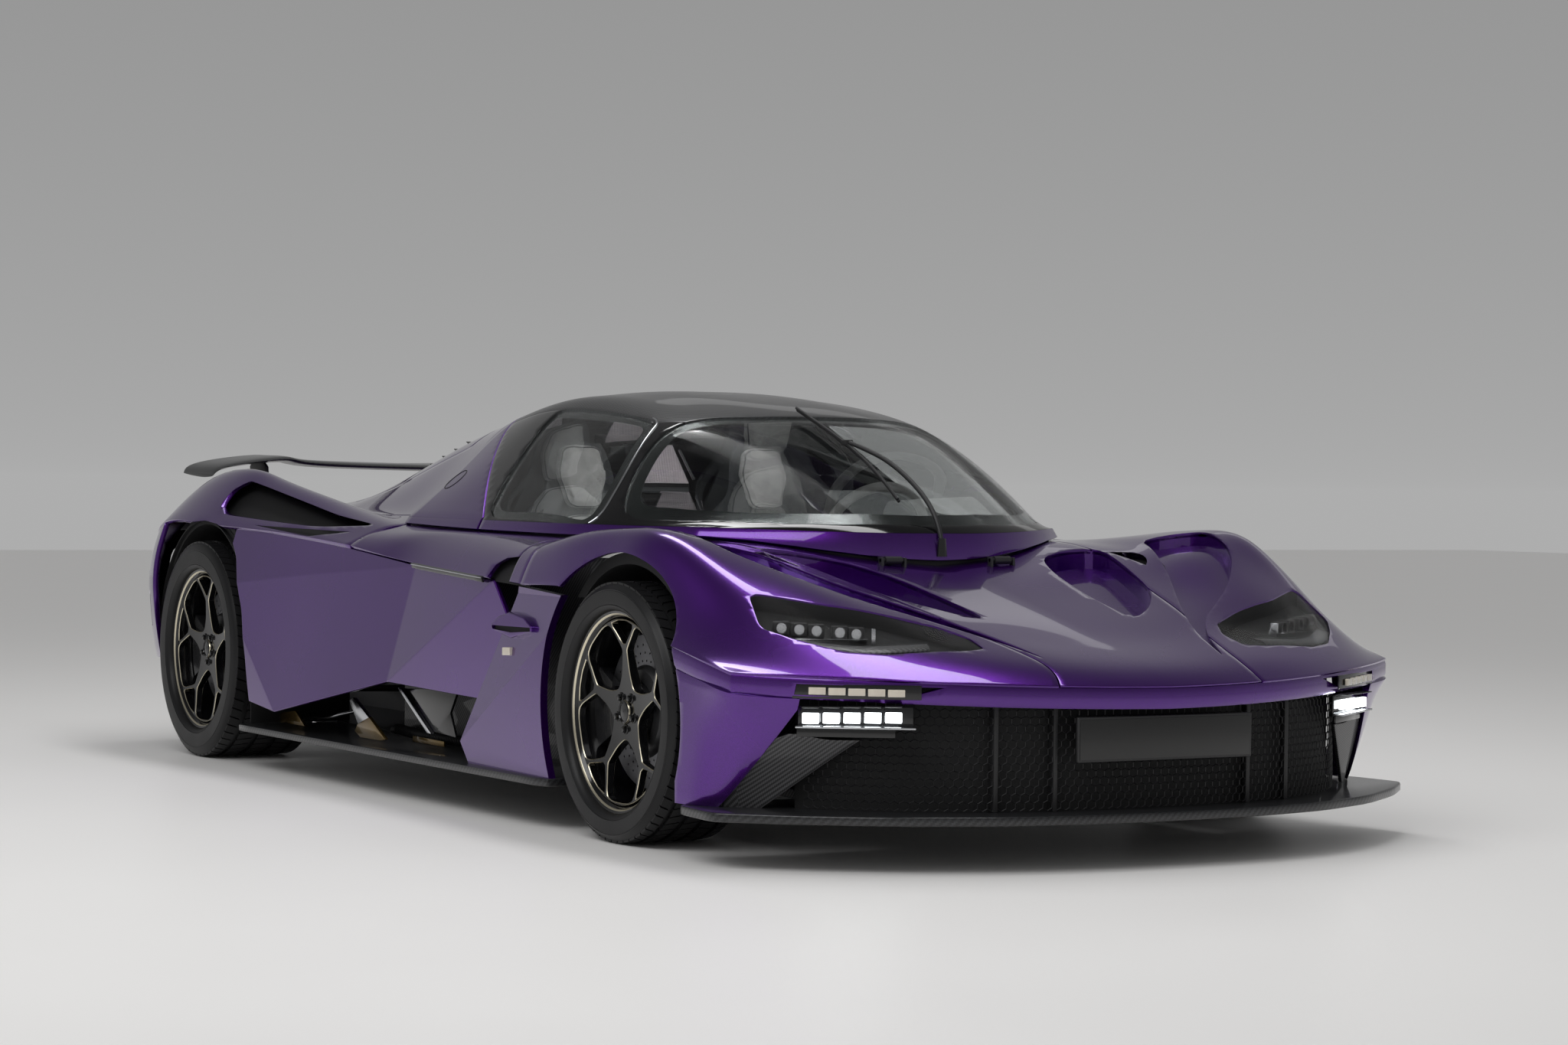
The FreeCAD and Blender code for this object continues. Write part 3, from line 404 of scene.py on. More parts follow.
def spread(tree, value, low, high):
    node = tree.nodes.new("ShaderNodeMapRange")
    return feed(tree, node, {"Value": value, "To Min": low, "To Max": high})[0]


def shareOut(tree, first, second, share):
    # the first value where the share is one, and the second where it is nought
    rest = calc(tree, "SUBTRACT", 1.0, share)
    return calc(tree, "ADD", calc(tree, "MULTIPLY", first, share), calc(tree, "MULTIPLY", second, rest))


def addBump(tree, height, strength, distance):
    outputs = feed(tree, tree.nodes.new("ShaderNodeBump"),
        {"Strength": strength, "Distance": distance, "Height": height})
    tree.links.new(outputs["Normal"], tree.nodes["Principled BSDF"].inputs["Normal"])


def addGroup(tree, group, values):
    node = tree.nodes.new("ShaderNodeGroup")
    node.node_tree = group
    return feed(tree, node, values)


def blankMaterial(name, values):
    material = bpy.data.materials.new(name)
    material.use_nodes = True
    tree = material.node_tree
    feed(tree, tree.nodes["Principled BSDF"], values)
    return material, tree, tree.nodes["Principled BSDF"].inputs


def surfaceGrain():
    # slow clouds and fine grain over a surface, each from 0 to 1
    group, given, put = newGroup("surfaceGrain", {"Clouds": 4.0, "Grain": 900.0}, ("Clouds", "Grain"))
    place = group.nodes.new("ShaderNodeTexCoord").outputs["Object"]
    for label, detail in (("Clouds", 4.0), ("Grain", 2.0)):
        noise = group.nodes.new("ShaderNodeTexNoise")
        feed(group, noise, {"Detail": detail, "Vector": place, "Scale": given[label]})
        group.links.new(noise.outputs["Fac"], put[label])
    return group


def facePlace():
    # flat coordinates across the face that a point is on, in metres
    group, given, put = newGroup("facePlace", {}, ("U", "V"))
    coords = group.nodes.new("ShaderNodeTexCoord")
    place = group.nodes.new("ShaderNodeSeparateXYZ")
    facing = group.nodes.new("ShaderNodeSeparateXYZ")
    group.links.new(coords.outputs["Object"], place.inputs[0])
    group.links.new(coords.outputs["Normal"], facing.inputs[0])
    nx, ny, nz = (calc(group, "ABSOLUTE", facing.outputs[i]) for i in range(3))
    upward = calc(group, "GREATER_THAN", nz, calc(group, "MAXIMUM", nx, ny))
    forward = calc(group, "MULTIPLY", calc(group, "GREATER_THAN", nx, ny),
        calc(group, "SUBTRACT", 1.0, upward))
    x, y, z = place.outputs
    group.links.new(shareOut(group, y, x, forward), put["U"])
    group.links.new(shareOut(group, y, z, upward), put["V"])
    return group


def carbonWeave(faceGroup):
    # twill of two over and two under, with the over tows, the tow crowns and the thread lines painted lighter
    # as a painted sheen
    group, given, put = newGroup("carbonWeave", {"Tow": 0.004}, ("PaintedSheen", "Height"))
    flat = addGroup(group, faceGroup, {})
    a, b = (calc(group, "DIVIDE", flat[key], given["Tow"]) for key in ("U", "V"))
    cell = calc(group, "SUBTRACT", calc(group, "FLOOR", a), calc(group, "FLOOR", b))
    over = calc(group, "LESS_THAN", calc(group, "FLOORED_MODULO", cell, 4.0), 2.0)
    crowns = [calc(group, "SINE", calc(group, "MULTIPLY", calc(group, "FRACT", c), math.pi))
        for c in (a, b)]
    height = shareOut(group, *crowns, over)
    threads = calc(group, "SINE", calc(group, "MULTIPLY", shareOut(group, a, b, over), 37.0))
    paintedSheen = calc(group, "ADD", calc(group, "MULTIPLY", over, 0.75), calc(group, "MULTIPLY", threads, 0.1))
    group.links.new(calc(group, "ADD", paintedSheen, calc(group, "MULTIPLY", height, 0.2)), put["PaintedSheen"])
    group.links.new(height, put["Height"])
    return group


grainGroup = surfaceGrain()
faceGroup = facePlace()
weaveGroup = carbonWeave(faceGroup)


def baseMaterial(name, color, roughness, metallic=0.0, coat=0.0, tint=None, clouds=4.0, grain=900.0,
        rough=0.06, bump=0.0, **extra):
    # one surface with its own drift of colour, roughness and grain
    values = {"Metallic": metallic, "Coat Weight": coat, "Coat Roughness": 0.03}
    values.update({key.replace("_", " "): value for key, value in extra.items()})
    material, tree, shader = blankMaterial(name, values)
    effect = addGroup(tree, grainGroup, {"Clouds": clouds, "Grain": grain})
    second = tint or [min(1, c * 1.25 + 0.002) for c in color]
    tree.links.new(blendColors(tree, effect["Clouds"], color, second), shader["Base Color"])
    tree.links.new(spread(tree, effect["Clouds"], max(roughness - rough, 0.0), roughness + rough),
        shader["Roughness"])
    if bump:
        addBump(tree, effect["Grain"], bump, 0.0003)
    return material


def bodyPaintMaterial(finish):
    # flakes under a deep clear coat
    material = baseMaterial("bodyPaint", finish["deep"], finish["roughness"], metallic=finish["metallic"],
        coat=1.0, tint=finish["bright"], clouds=1.6, rough=0.02)
    tree = material.node_tree
    ground = tree.nodes["Principled BSDF"].inputs["Base Color"]
    place = tree.nodes.new("ShaderNodeTexCoord").outputs["Object"]
    flakes = feed(tree, tree.nodes.new("ShaderNodeTexVoronoi"),
        {"Scale": finish["flakeScale"], "Vector": place})
    shine = calc(tree, "MAXIMUM", spread(tree, flakes["Distance"], 1.0, 0.0), 0.0)
    glint = calc(tree, "MULTIPLY", calc(tree, "POWER", shine, 3.0), finish["flakeShare"])
    tree.links.new(blendColors(tree, glint, ground.links[0].from_socket, finish["flake"]), ground)
    return material


def carbonMaterial(name, tow, dark, light, roughness, coat):
    values = {"Metallic": 0.25, "Coat Weight": coat, "Coat Roughness": 0.04}
    material, tree, shader = blankMaterial(name, values)
    weave = addGroup(tree, weaveGroup, {"Tow": tow})
    # the weave's painted sheen lightens the base colour and smooths the roughness
    tree.links.new(blendColors(tree, weave["PaintedSheen"], dark, light), shader["Base Color"])
    tree.links.new(spread(tree, weave["PaintedSheen"], roughness + 0.1, roughness), shader["Roughness"])
    addBump(tree, weave["Height"], 0.25, 0.0003)
    return material


def ringMaterial(name, color, centres, roughness, metallic):
    # turned metal: fine rings about the axle nearest to the point
    material = baseMaterial(name, color, roughness, metallic=metallic, grain=200.0)
    tree = material.node_tree
    place = tree.nodes.new("ShaderNodeTexCoord").outputs["Object"]
    nearest = None
    for x, z in centres:
        shift = tree.nodes.new("ShaderNodeVectorMath")
        shift.operation = "MULTIPLY_ADD"
        shift.inputs[1].default_value = (1, 0, 1)
        shift.inputs[2].default_value = (-x, 0, -z)
        tree.links.new(place, shift.inputs[0])
        length = tree.nodes.new("ShaderNodeVectorMath")
        length.operation = "LENGTH"
        tree.links.new(shift.outputs[0], length.inputs[0])
        away = length.outputs["Value"]
        nearest = away if nearest is None else calc(tree, "MINIMUM", nearest, away)
    ringRate = 2600.0
    addBump(tree, calc(tree, "SINE", calc(tree, "MULTIPLY", nearest, ringRate)), 0.2, 0.0002)
    return material


def glowMaterial(name, color, strength):
    material = baseMaterial(name, color, 0.3)
    tree = material.node_tree
    feed(tree, tree.nodes["Principled BSDF"], {"Emission Strength": strength, "Emission Color": color})
    return material


paintFinish = {"deep": (0.036, 0.0016, 0.105), "bright": (0.075, 0.003, 0.215),
    "flake": (0.30, 0.04, 0.75), "metallic": 0.86, "roughness": 0.27, "flakeScale": 900.0,
    "flakeShare": 0.5}
bodyPaint = bodyPaintMaterial(paintFinish)
carbonGloss = carbonMaterial("carbonGloss", 0.0045, (0.003, 0.003, 0.0035), (0.028, 0.029, 0.032), 0.34,
    0.5)
carbonSatin = carbonMaterial("carbonSatin", 0.0032, (0.012, 0.012, 0.013), (0.10, 0.10, 0.105), 0.45, 0.3)
glossBlack = baseMaterial("glossBlack", (0.003, 0.003, 0.0035), 0.1, coat=0.3)
satinBlack = baseMaterial("satinBlack", (0.014, 0.014, 0.015), 0.48, bump=0.3)
# near black: the colour of the arch liners and lamp bowls, and painted shade on the sheets behind openings
deepBlack = baseMaterial("deepBlack", (0.004, 0.004, 0.0045), 0.75, bump=0.4)
sealRubber = baseMaterial("sealRubber", (0.012, 0.012, 0.012), 0.55, bump=0.4)
meshBlack = baseMaterial("meshBlack", (0.008, 0.008, 0.009), 0.38, bump=0.2)
plateBlack = baseMaterial("plateBlack", (0.008, 0.008, 0.008), 0.3, coat=0.15, bump=0.15)
# bright metal for real trims and, on the strut edges and the waist line, a painted highlight; bronze for the
# dash bar and, on the struts, a painted gold reflection
brightTrim = baseMaterial("brightTrim", (0.52, 0.53, 0.55), 0.2, metallic=1.0, grain=300.0)
bronzeTrim = baseMaterial("bronzeTrim", (0.20, 0.125, 0.03), 0.28, metallic=0.9, coat=0.6)
castAlloy = baseMaterial("castAlloy", (0.30, 0.30, 0.31), 0.5, metallic=0.85, grain=500.0, bump=0.5)
steelBlack = baseMaterial("steelBlack", (0.03, 0.03, 0.032), 0.4, metallic=0.4, bump=0.2)
exhaustMetal = baseMaterial("exhaustMetal", (0.36, 0.33, 0.30), 0.3, metallic=1.0, tint=(0.30, 0.24, 0.30),
    clouds=30.0)
lampLens = baseMaterial("lampLens", (0.93, 0.95, 0.96), 0.02, rough=0.01, Transmission_Weight=1.0,
    IOR=1.05, Alpha=0.16)
lampGlow = glowMaterial("lampGlow", (0.93, 0.98, 1.0), 7.0)
tailRed = baseMaterial("tailRed", (0.34, 0.004, 0.006), 0.14, coat=1.0, clouds=60.0)
amberLens = baseMaterial("amberLens", (0.55, 0.50, 0.42), 0.12, coat=1.0, clouds=60.0)
windowGlass = baseMaterial("windowGlass", (0.74, 0.84, 0.82), 0.01, rough=0.005, Transmission_Weight=1.0,
    IOR=1.09, Alpha=0.36)
fritBlack = baseMaterial("fritBlack", (0.003, 0.0035, 0.0036), 0.2, coat=0.8)
tyreRubber = baseMaterial("tyreRubber", (0.007, 0.007, 0.0075), 0.42, clouds=12.0, grain=700.0, rough=0.08,
    bump=0.35, tint=(0.011, 0.011, 0.012), Specular_IOR_Level=0.3)
wheelBlack = baseMaterial("wheelBlack", (0.002, 0.002, 0.0025), 0.13, coat=0.2, rough=0.03)
# pale gold on the rim's bevelled edges: a painted highlight and painted reflection
wheelEdge = baseMaterial("wheelEdge", (0.62, 0.57, 0.44), 0.3, metallic=1.0, grain=400.0)
discIron = ringMaterial("discIron", (0.16, 0.16, 0.17), ((1.275, 0.325), (-1.575, 0.345)), 0.34, 0.9)
caliperBlack = baseMaterial("caliperBlack", (0.01, 0.01, 0.011), 0.25, coat=0.8, bump=0.1)
suede = baseMaterial("suede", (0.24, 0.235, 0.235), 0.9, clouds=28.0, grain=1500.0, bump=0.6,
    tint=(0.60, 0.59, 0.575), Sheen_Weight=0.6)
seatShell = baseMaterial("seatShell", (0.05, 0.052, 0.055), 0.35, coat=0.5, bump=0.2)
ribbedTrim = baseMaterial("ribbedTrim", (0.56, 0.50, 0.53), 0.42, clouds=9.0, bump=0.2)
cabinTrim = baseMaterial("cabinTrim", (0.022, 0.021, 0.022), 0.65, bump=0.5, grain=1200.0)
print("materials made")


# skin tables in mm, each row: x at the centre line, sweep back at y = 1000, then (y, z) points outwards
noseSkin = {"thickness": 12, "steps": 8, "rows": (
    (2265, 396, (0, 425), (150, 427), (300, 430), (450, 434), (620, 440), (780, 447), (900, 452), (985, 458)),
    (2180, 400, (0, 470), (150, 472), (290, 478), (440, 486), (610, 494), (770, 500), (900, 496), (1000, 478)),
    (2000, 330, (0, 514), (180, 520), (330, 532), (470, 545), (620, 568), (760, 580), (890, 570), (1006, 500)),
    (1820, 250, (0, 555), (220, 568), (380, 585), (520, 610), (660, 640), (790, 655), (900, 640), (1006, 520)),
    (1600, 150, (0, 607), (260, 622), (430, 640), (570, 668), (690, 705), (810, 728), (915, 715), (1005, 560)),
    (1400, 60, (0, 655), (300, 672), (480, 690), (610, 715), (720, 750), (830, 772), (930, 755), (1004, 600)),
    (1200, 0, (0, 690), (320, 712), (520, 728), (640, 735), (740, 758), (850, 776), (935, 760), (1000, 620)),
    (1000, 0, (0, 700), (340, 740), (540, 745), (660, 745), (760, 755), (860, 765), (945, 748), (998, 630)),
    (780, 0, (0, 700), (360, 745), (560, 748), (690, 745), (780, 742), (870, 738), (945, 715), (990, 628)))}
shoulderSkin = {"rows": (
    (780, 0, (780, 742), (870, 738), (945, 715), (990, 628)),
    (500, 0, (775, 746), (850, 738), (920, 702), (960, 638)),
    (0, 0, (770, 752), (830, 742), (885, 704), (920, 658)),
    (-250, 0, (765, 756), (830, 742), (885, 716), (921, 676)),
    (-480, 0, (760, 760), (820, 746), (880, 728), (928, 700)))}
tailSkin = {"rows": (
    (-480, 0, (0, 1132), (230, 1117), (420, 1062), (570, 910), (690, 790), (760, 760), (820, 746), (928, 700)),
    (-800, 0, (0, 1098), (215, 1080), (385, 1000), (520, 860), (620, 785), (710, 790), (812, 789), (942, 720)),
    (-1100, 0, (0, 1050), (200, 1032), (360, 945), (490, 825), (600, 785), (705, 825), (815, 836), (956, 733)),
    (-1400, 0, (0, 985), (190, 968), (340, 885), (470, 800), (590, 790), (710, 862), (820, 882), (975, 742)),
    (-1600, 0, (0, 930), (185, 918), (330, 850), (460, 790), (585, 800), (715, 890), (825, 908), (985, 750)),
    (-1850, 0, (0, 866), (180, 858), (320, 815), (450, 785), (580, 798), (710, 880), (825, 893), (975, 752)),
    (-2080, 0, (0, 826), (180, 820), (320, 800), (450, 785), (580, 790), (700, 830), (800, 830), (930, 715)),
    (-2270, 0, (0, 810), (180, 806), (310, 795), (440, 783), (560, 780), (670, 785), (750, 765), (850, 660)))}
canopySkin = {"rows": (
    (1250, 900, (0, 770), (130, 770), (260, 772), (380, 775), (480, 778), (560, 780)),
    (1100, 700, (0, 880), (130, 878), (270, 868), (400, 845), (520, 815), (630, 780)),
    (900, 420, (0, 985), (140, 981), (280, 965), (420, 930), (560, 865), (690, 781)),
    (680, 200, (0, 1070), (150, 1066), (290, 1050), (430, 1010), (580, 915), (735, 782)),
    (420, 60, (0, 1124), (150, 1121), (290, 1106), (430, 1070), (600, 945), (758, 783)),
    (100, 0, (0, 1158), (150, 1155), (290, 1141), (420, 1105), (600, 955), (765, 784)),
    (-200, 0, (0, 1160), (150, 1157), (290, 1143), (420, 1105), (590, 955), (755, 785)),
    (-480, 0, (0, 1132), (150, 1129), (285, 1110), (420, 1062), (570, 930), (740, 786)))}
openings = {
    "innerDuct": ((1820, 215), (1600, 225), (1400, 260), (1250, 325), (1190, 430), (1205, 545), (1400, 490),
        (1611, 425), (1739, 325)),
    "outerDuct": ((2150, 252), (1958, 308), (1818, 372), (1640, 475), (1516, 548), (1300, 650), (1190, 700),
        (1205, 785), (1285, 840), (1479, 785), (1600, 695), (1700, 600), (1780, 500), (1860, 405), (1985, 320)),
    "lamp": ((1688, 832), (1781, 682), (1831, 530), (1890, 420), (1965, 380), (2040, 385), (2048, 440),
        (2030, 560), (2015, 630), (1964, 722), (1871, 805), (1795, 858)),
    "screen": ((1228, 0), (1210, 130), (1168, 260), (1095, 380), (1015, 470), (900, 560), (770, 640),
        (700, 650), (640, 600), (590, 530), (550, 450), (545, 385), (575, 290), (620, 190), (635, 100),
        (640, 0)),
    "side": ((600, 742), (640, 690), (590, 600), (520, 500), (470, 425), (350, 430), (208, 432), (0, 430),
        (-110, 430), (-100, 500), (-20, 640), (60, 735), (140, 762), (380, 756))}
rearArch = ((-1938, 400), (-1912, 550), (-1840, 655), (-1725, 728), (-1647, 748), (-1531, 756),
    (-1418, 745), (-1323, 706), (-1248, 647), (-1192, 568), (-1145, 483), (-1108, 350), (-1092, 262),
    (-1050, 100), (-1938, 100))
canopyFoot = ((1264, 699), (1248, 705), (1205, 718), (1140, 734), (1065, 748), (985, 756), (850, 757),
    (705, 753), (572, 753), (385, 755), (100, 758), (-200, 762), (-480, 767))
canopyShut = ((75, 700), (62, 790), (-200, 935), (-456, 1071), (-478, 1200))
frontArch = {"x": 1.275, "z": 0.325, "radius": 0.396}
seams = {"gap": 2.2, "edge": 0.0018, "fenderEnd": 688}
# openings in the side, in side view: (x, z)
sideOpenings = {
    "pocket": ((520, 600), (520, 636), (546, 672), (600, 690), (688, 696), (688, 600)),
    "recess": ((-545, 757), (-800, 783), (-1100, 828), (-1400, 872), (-1485, 884), (-1530, 850), (-1510, 800),
        (-1440, 776), (-1100, 760), (-800, 748)),
    "slot": ((-1180, 747), (-600, 737), (-780, 720))}


def rounded(outline, turns=2, share=0.22):
    # corners cut off again and again, so that a short outline reads as a smooth one
    points = [tuple(p) for p in outline]
    for _ in range(turns):
        points = [tuple(a + (b - a) * k for a, b in zip(p, q))
            for p, q in zip(points, points[1:] + points[:1]) for k in (share, 1 - share)]
    return points


def insetOutline(outline, distance):
    # a closed flat outline moved inwards
    points = np.array(outline, float)
    area = np.sum(points[:, 0] * np.roll(points[:, 1], -1) - np.roll(points[:, 0], -1) * points[:, 1])
    after, before = np.roll(points, -1, 0) - points, points - np.roll(points, 1, 0)
    after /= np.linalg.norm(after, axis=1, keepdims=True)
    before /= np.linalg.norm(before, axis=1, keepdims=True)
    normals = [np.stack((-d[:, 1], d[:, 0]), 1) * np.sign(area) for d in (after, before)]
    mean = normals[0] + normals[1]
    mean /= np.linalg.norm(mean, axis=1, keepdims=True)
    reach = distance / np.maximum(np.sum(mean * normals[0], axis=1, keepdims=True), 0.45)
    return [tuple(p) for p in points + mean * reach]


def mirroredOutline(outline):
    return [(x, -y) for x, y in outline]


def fullOutline(half):
    # a whole outline from a left half whose ends lie on the centre line
    return list(half) + [(x, -y) for x, y in reversed(half[1:-1])]


def planPair(name, outline, low=300, high=1300):
    return [planSolid(name, line, low, high) for line in (outline, mirroredOutline(outline))]


def offsetNet(net, depth):
    # the net moved inwards, square to itself
    along, across = np.gradient(net, axis=0), np.gradient(net, axis=1)
    normal = np.cross(along, across)
    normal /= np.maximum(np.linalg.norm(normal, axis=2, keepdims=True), 1e-9)
    normal *= np.where(np.sum(normal[..., 2]) < 0, -1, 1)
    return net - normal * depth


def laidOn(obj, points, lift=0.0):
    # a plan outline in mm laid on a surface from above, in metres
    places = []
    for x, y in points:
        hit, place, normal, index = obj.ray_cast(Vector((x / 1000, y / 1000, 3)), Vector((0, 0, -1)))
        if hit:
            places.append(place + normal * lift / 1000)
    return places


def densely(points, step, closed=True):
    # extra points along a flat or solid outline, at most a step apart
    rows = [np.array(p, float) for p in points]
    out = []
    for a, b in zip(rows, rows[1:] + rows[:1] if closed else rows[1:]):
        count = max(1, int(np.ceil(np.linalg.norm(b - a) / step)))
        out += [a + (b - a) * k / count for k in range(count)]
    if not closed:
        out.append(rows[-1])
    return out


def netBlock(name, net, drop, way=(0, 0, -1)):
    # a net drawn straight down, or along another way, to a closed block
    sheet = netSheet(name, net)
    editAll(sheet)
    bpy.ops.mesh.extrude_region_move(TRANSFORM_OT_translate={"value": tuple(c * drop / 1000 for c in way)})
    closeUp()
    return sheet


steps = noseSkin["steps"]
noseNet = smoothNet(noseSkin["rows"], steps)
shoulderNet = smoothNet(shoulderSkin["rows"], steps)
tailNet = smoothNet(tailSkin["rows"], steps)
canopyNet = smoothNet(canopySkin["rows"], steps)


def canopyFootLine():
    # belt of the canopy and its foot, from the centre line round to the back
    belt = np.concatenate([canopyNet[0], canopyNet[1:, -1]])
    x, z = np.array(sorted(canopyFoot)).T
    out = np.stack([np.where(belt[:, 0] > 700, belt[:, 0] - 300, 0),
        np.where(belt[:, 0] > 700, belt[:, 1] * 1.3, 1)], 1)
    out /= np.linalg.norm(out, axis=1, keepdims=True)
    foot = belt.copy()
    foot[:, :2] += 14 * out
    foot[:, 2] = np.interp(foot[:, 0], x, z)
    return belt, foot


beltLine, footLine = canopyFootLine()
cockpitOutline = insetOutline(fullOutline([(x, y) for x, y, z in footLine] + [(-480, 0)]), 45)


def addDrum(sides, radius, depth, place):
    # a cylinder that lies across the car, in metres
    clearSelection()
    bpy.ops.mesh.primitive_cylinder_add(vertices=sides, radius=radius, depth=depth, location=place,
        rotation=(math.pi / 2, 0, 0))
    return bpy.context.object


def frontArchCutter(side=1):
    low, high = (0.54, 1.1) if side > 0 else (-1.1, -0.54)
    drum = addDrum(128, frontArch["radius"], high - low, (frontArch["x"], (low + high) / 2, frontArch["z"]))
    drum.name = "archDrum"
    settle()
    return drum


def rearArchCutter():
    return sideSolid("archCut", rounded(rearArch, 2, 0.1), 640, 1100)


def keepInside(obj, solid):
    # only what lies inside the solid stays
    return cutAway(obj, [solid], "INTERSECT")


def trayUnder(name, under, depth, outer, above, room, inner, solid=planSolid, reach=(200, 1300),
        way=(0, 0, -1)):
    # a block under a skin, trimmed to one outline and hollowed out from above within another
    tray = keepInside(netBlock(name, under, depth, way), solid("trim", outer, *reach))
    space = keepInside(netBlock("space", above, room, way), solid("trim", inner, *reach))
    return cutAway(tray, [space])


def makeBonnet():
    net = narrowed(bothSides(noseNet[:, :2 * steps + 1]), seams["gap"], "flh")
    panel = netPanel("bonnetSkin", net, noseSkin["thickness"])
    ducts = planPair("innerHole", rounded(openings["innerDuct"]))
    ducts += planPair("outerHole", rounded(openings["outerDuct"]))
    cutAway(panel, ducts + [planSolid("cockpitHole", cockpitOutline, 500, 900)])
    softenEdges(panel, seams["edge"])
    dress(panel, bodyPaint, replaced=["bonnet"])


def makeFenders():
    net = narrowed(noseNet[:, 2 * steps:], seams["gap"], "l")
    panel = netPanel("fenderSkin", net, noseSkin["thickness"])
    cutAway(panel, [planSolid("innerHole", rounded(openings["innerDuct"]), 300, 1300),
        planSolid("outerHole", rounded(openings["outerDuct"]), 300, 1300),
        planSolid("lampHole", rounded(openings["lamp"], 2, 0.12), 300, 1300),
        planSolid("cockpitHole", cockpitOutline, 500, 900), frontArchCutter()])
    softenEdges(panel, seams["edge"])
    dress(withTwin(panel), bodyPaint, replaced=["front_fenders"])


def makeDucts():
    # trays under the openings of the nose, painted like the body
    trays = []
    for key, depth in (("innerDuct", 62), ("outerDuct", 46)):
        outline = rounded(openings[key])
        trays.append(trayUnder(key + "Tray", noseNet - (0, 0, 5), depth, insetOutline(outline, -3),
            noseNet + (0, 0, 20), depth + 11, outline))
    duct = joinAll(trays, "ductTrays")
    cutAway(duct, [spunSolid("drum", ((1, 600), (376, 600), (376, 930), (1, 930)), (1.275, 0, 0.325))])
    dress(withTwin(duct), bodyPaint, replaced=["hood_ducts"])


def makeShoulders():
    # the seam to the front fender, and the opening under the fender's rear end, darkened by a near-black sheet
    # at its back as painted shade
    panel = netPanel("shoulderSkin", narrowed(shoulderNet, seams["gap"], "r"), 12)
    seam = seams["fenderEnd"]
    seamCut = planSolid("seam", ((seam, 700), (seam + 5, 700), (seam + 5, 1100), (seam, 1100)), 500, 900)
    cutAway(panel, [seamCut, sideSolid("pocket", sideOpenings["pocket"], 880, 1100)])
    # near-black sheet behind the opening: painted shade
    back = netPanel("pocketShadowSheet", offsetNet(shoulderNet[:3 * steps], 26), 4)
    pieces = [worked(panel, seams["edge"], bodyPaint), painted(back, deepBlack)]
    dressPair(pieces, "shoulderSkin", "shoulders")


def makeRearFenders():
    # haunch with a triangular recess in its side and a thin slot under it, darkened by a near-black sheet
    # behind it as painted shade
    side = tailNet[:, 4 * steps:]
    panel = netPanel("rearFenderSkin", narrowed(side, seams["gap"], "fl"), 12)
    archCut = rearArchCutter()
    recess = rounded(sideOpenings["recess"], 2, 0.15)
    tray = trayUnder("recessTray", side - (0, 6, 2), 42, insetOutline(recess, -3), side + (0, 40, 10), 74,
        recess, sideSolid, (700, 1100), (0, -1, 0))
    cutAway(panel, [sideSolid("recess", recess, 780, 1100),
        sideSolid("slot", sideOpenings["slot"], 860, 1100)])
    # near-black sheet behind the slot: painted shade
    back = netPanel("slotShadowSheet", offsetNet(side[:5 * steps + 1, steps:], 46), 3, (0, 1, 1))
    cutAway(panel, [archCut], keep=True)
    cutAway(back, [archCut], keep=True)
    cutAway(tray, [archCut])
    pieces = [worked(panel, seams["edge"], bodyPaint), worked(tray, seams["edge"], bodyPaint),
        painted(back, deepBlack)]
    dressPair(pieces, "rearFenderSkin", "rear_fenders")


makeBonnet()
makeFenders()
makeDucts()
makeShoulders()
makeRearFenders()
print("nose, shoulders and rear fenders made")


# wheels: tyre, rim and disc of each axle's left side, then mirrored
wheelSizes = {
    "front": {"x": 1275, "radius": 325, "face": 971, "width": 255, "flange": 265, "rotor": 192},
    "rear": {"x": -1575, "radius": 345, "face": 977, "width": 315, "flange": 268, "rotor": 186}}
rimStyle = {"spokes": 5, "windowRadius": 66, "branchRadius": 154, "edge": 1.7, "boltCircle": 43}
treadStyle = {"blocks": 64, "groove": 7, "gap": 0.16, "skew": (6, -5, 4, 5, -6), "edgeDrop": 2.0,
    "rows": ((-0.46, 0.16), (-0.235, 0.17), (0.0, 0.17), (0.235, 0.17), (0.46, 0.16))}


def polar(radius, degrees):
    return radius * math.cos(math.radians(degrees)), radius * math.sin(math.radians(degrees))


def windowCutter(outline, size, turn):
    # an outline about the axle, drawn across the wheel
    c, s = math.cos(math.radians(turn)), math.sin(math.radians(turn))
    points = [((size["x"] + u * c - v * s) / 1000, (size["face"] - 110) / 1000,
        (size["radius"] + u * s + v * c) / 1000) for u, v in outline]
    return outlineSolid("window", points, (0, 0.14, 0))


def paintedHighlightRing(obj, x, z, inner, outer, level):
    # the second material, a pale painted highlight, on the faces between two radii and above a level, in mm
    for polygon in obj.data.polygons:
        c = polygon.center
        if inner < math.hypot(c.x - x, c.z - z) * 1000 < outer and c.y * 1000 > level:
            polygon.material_index = 1


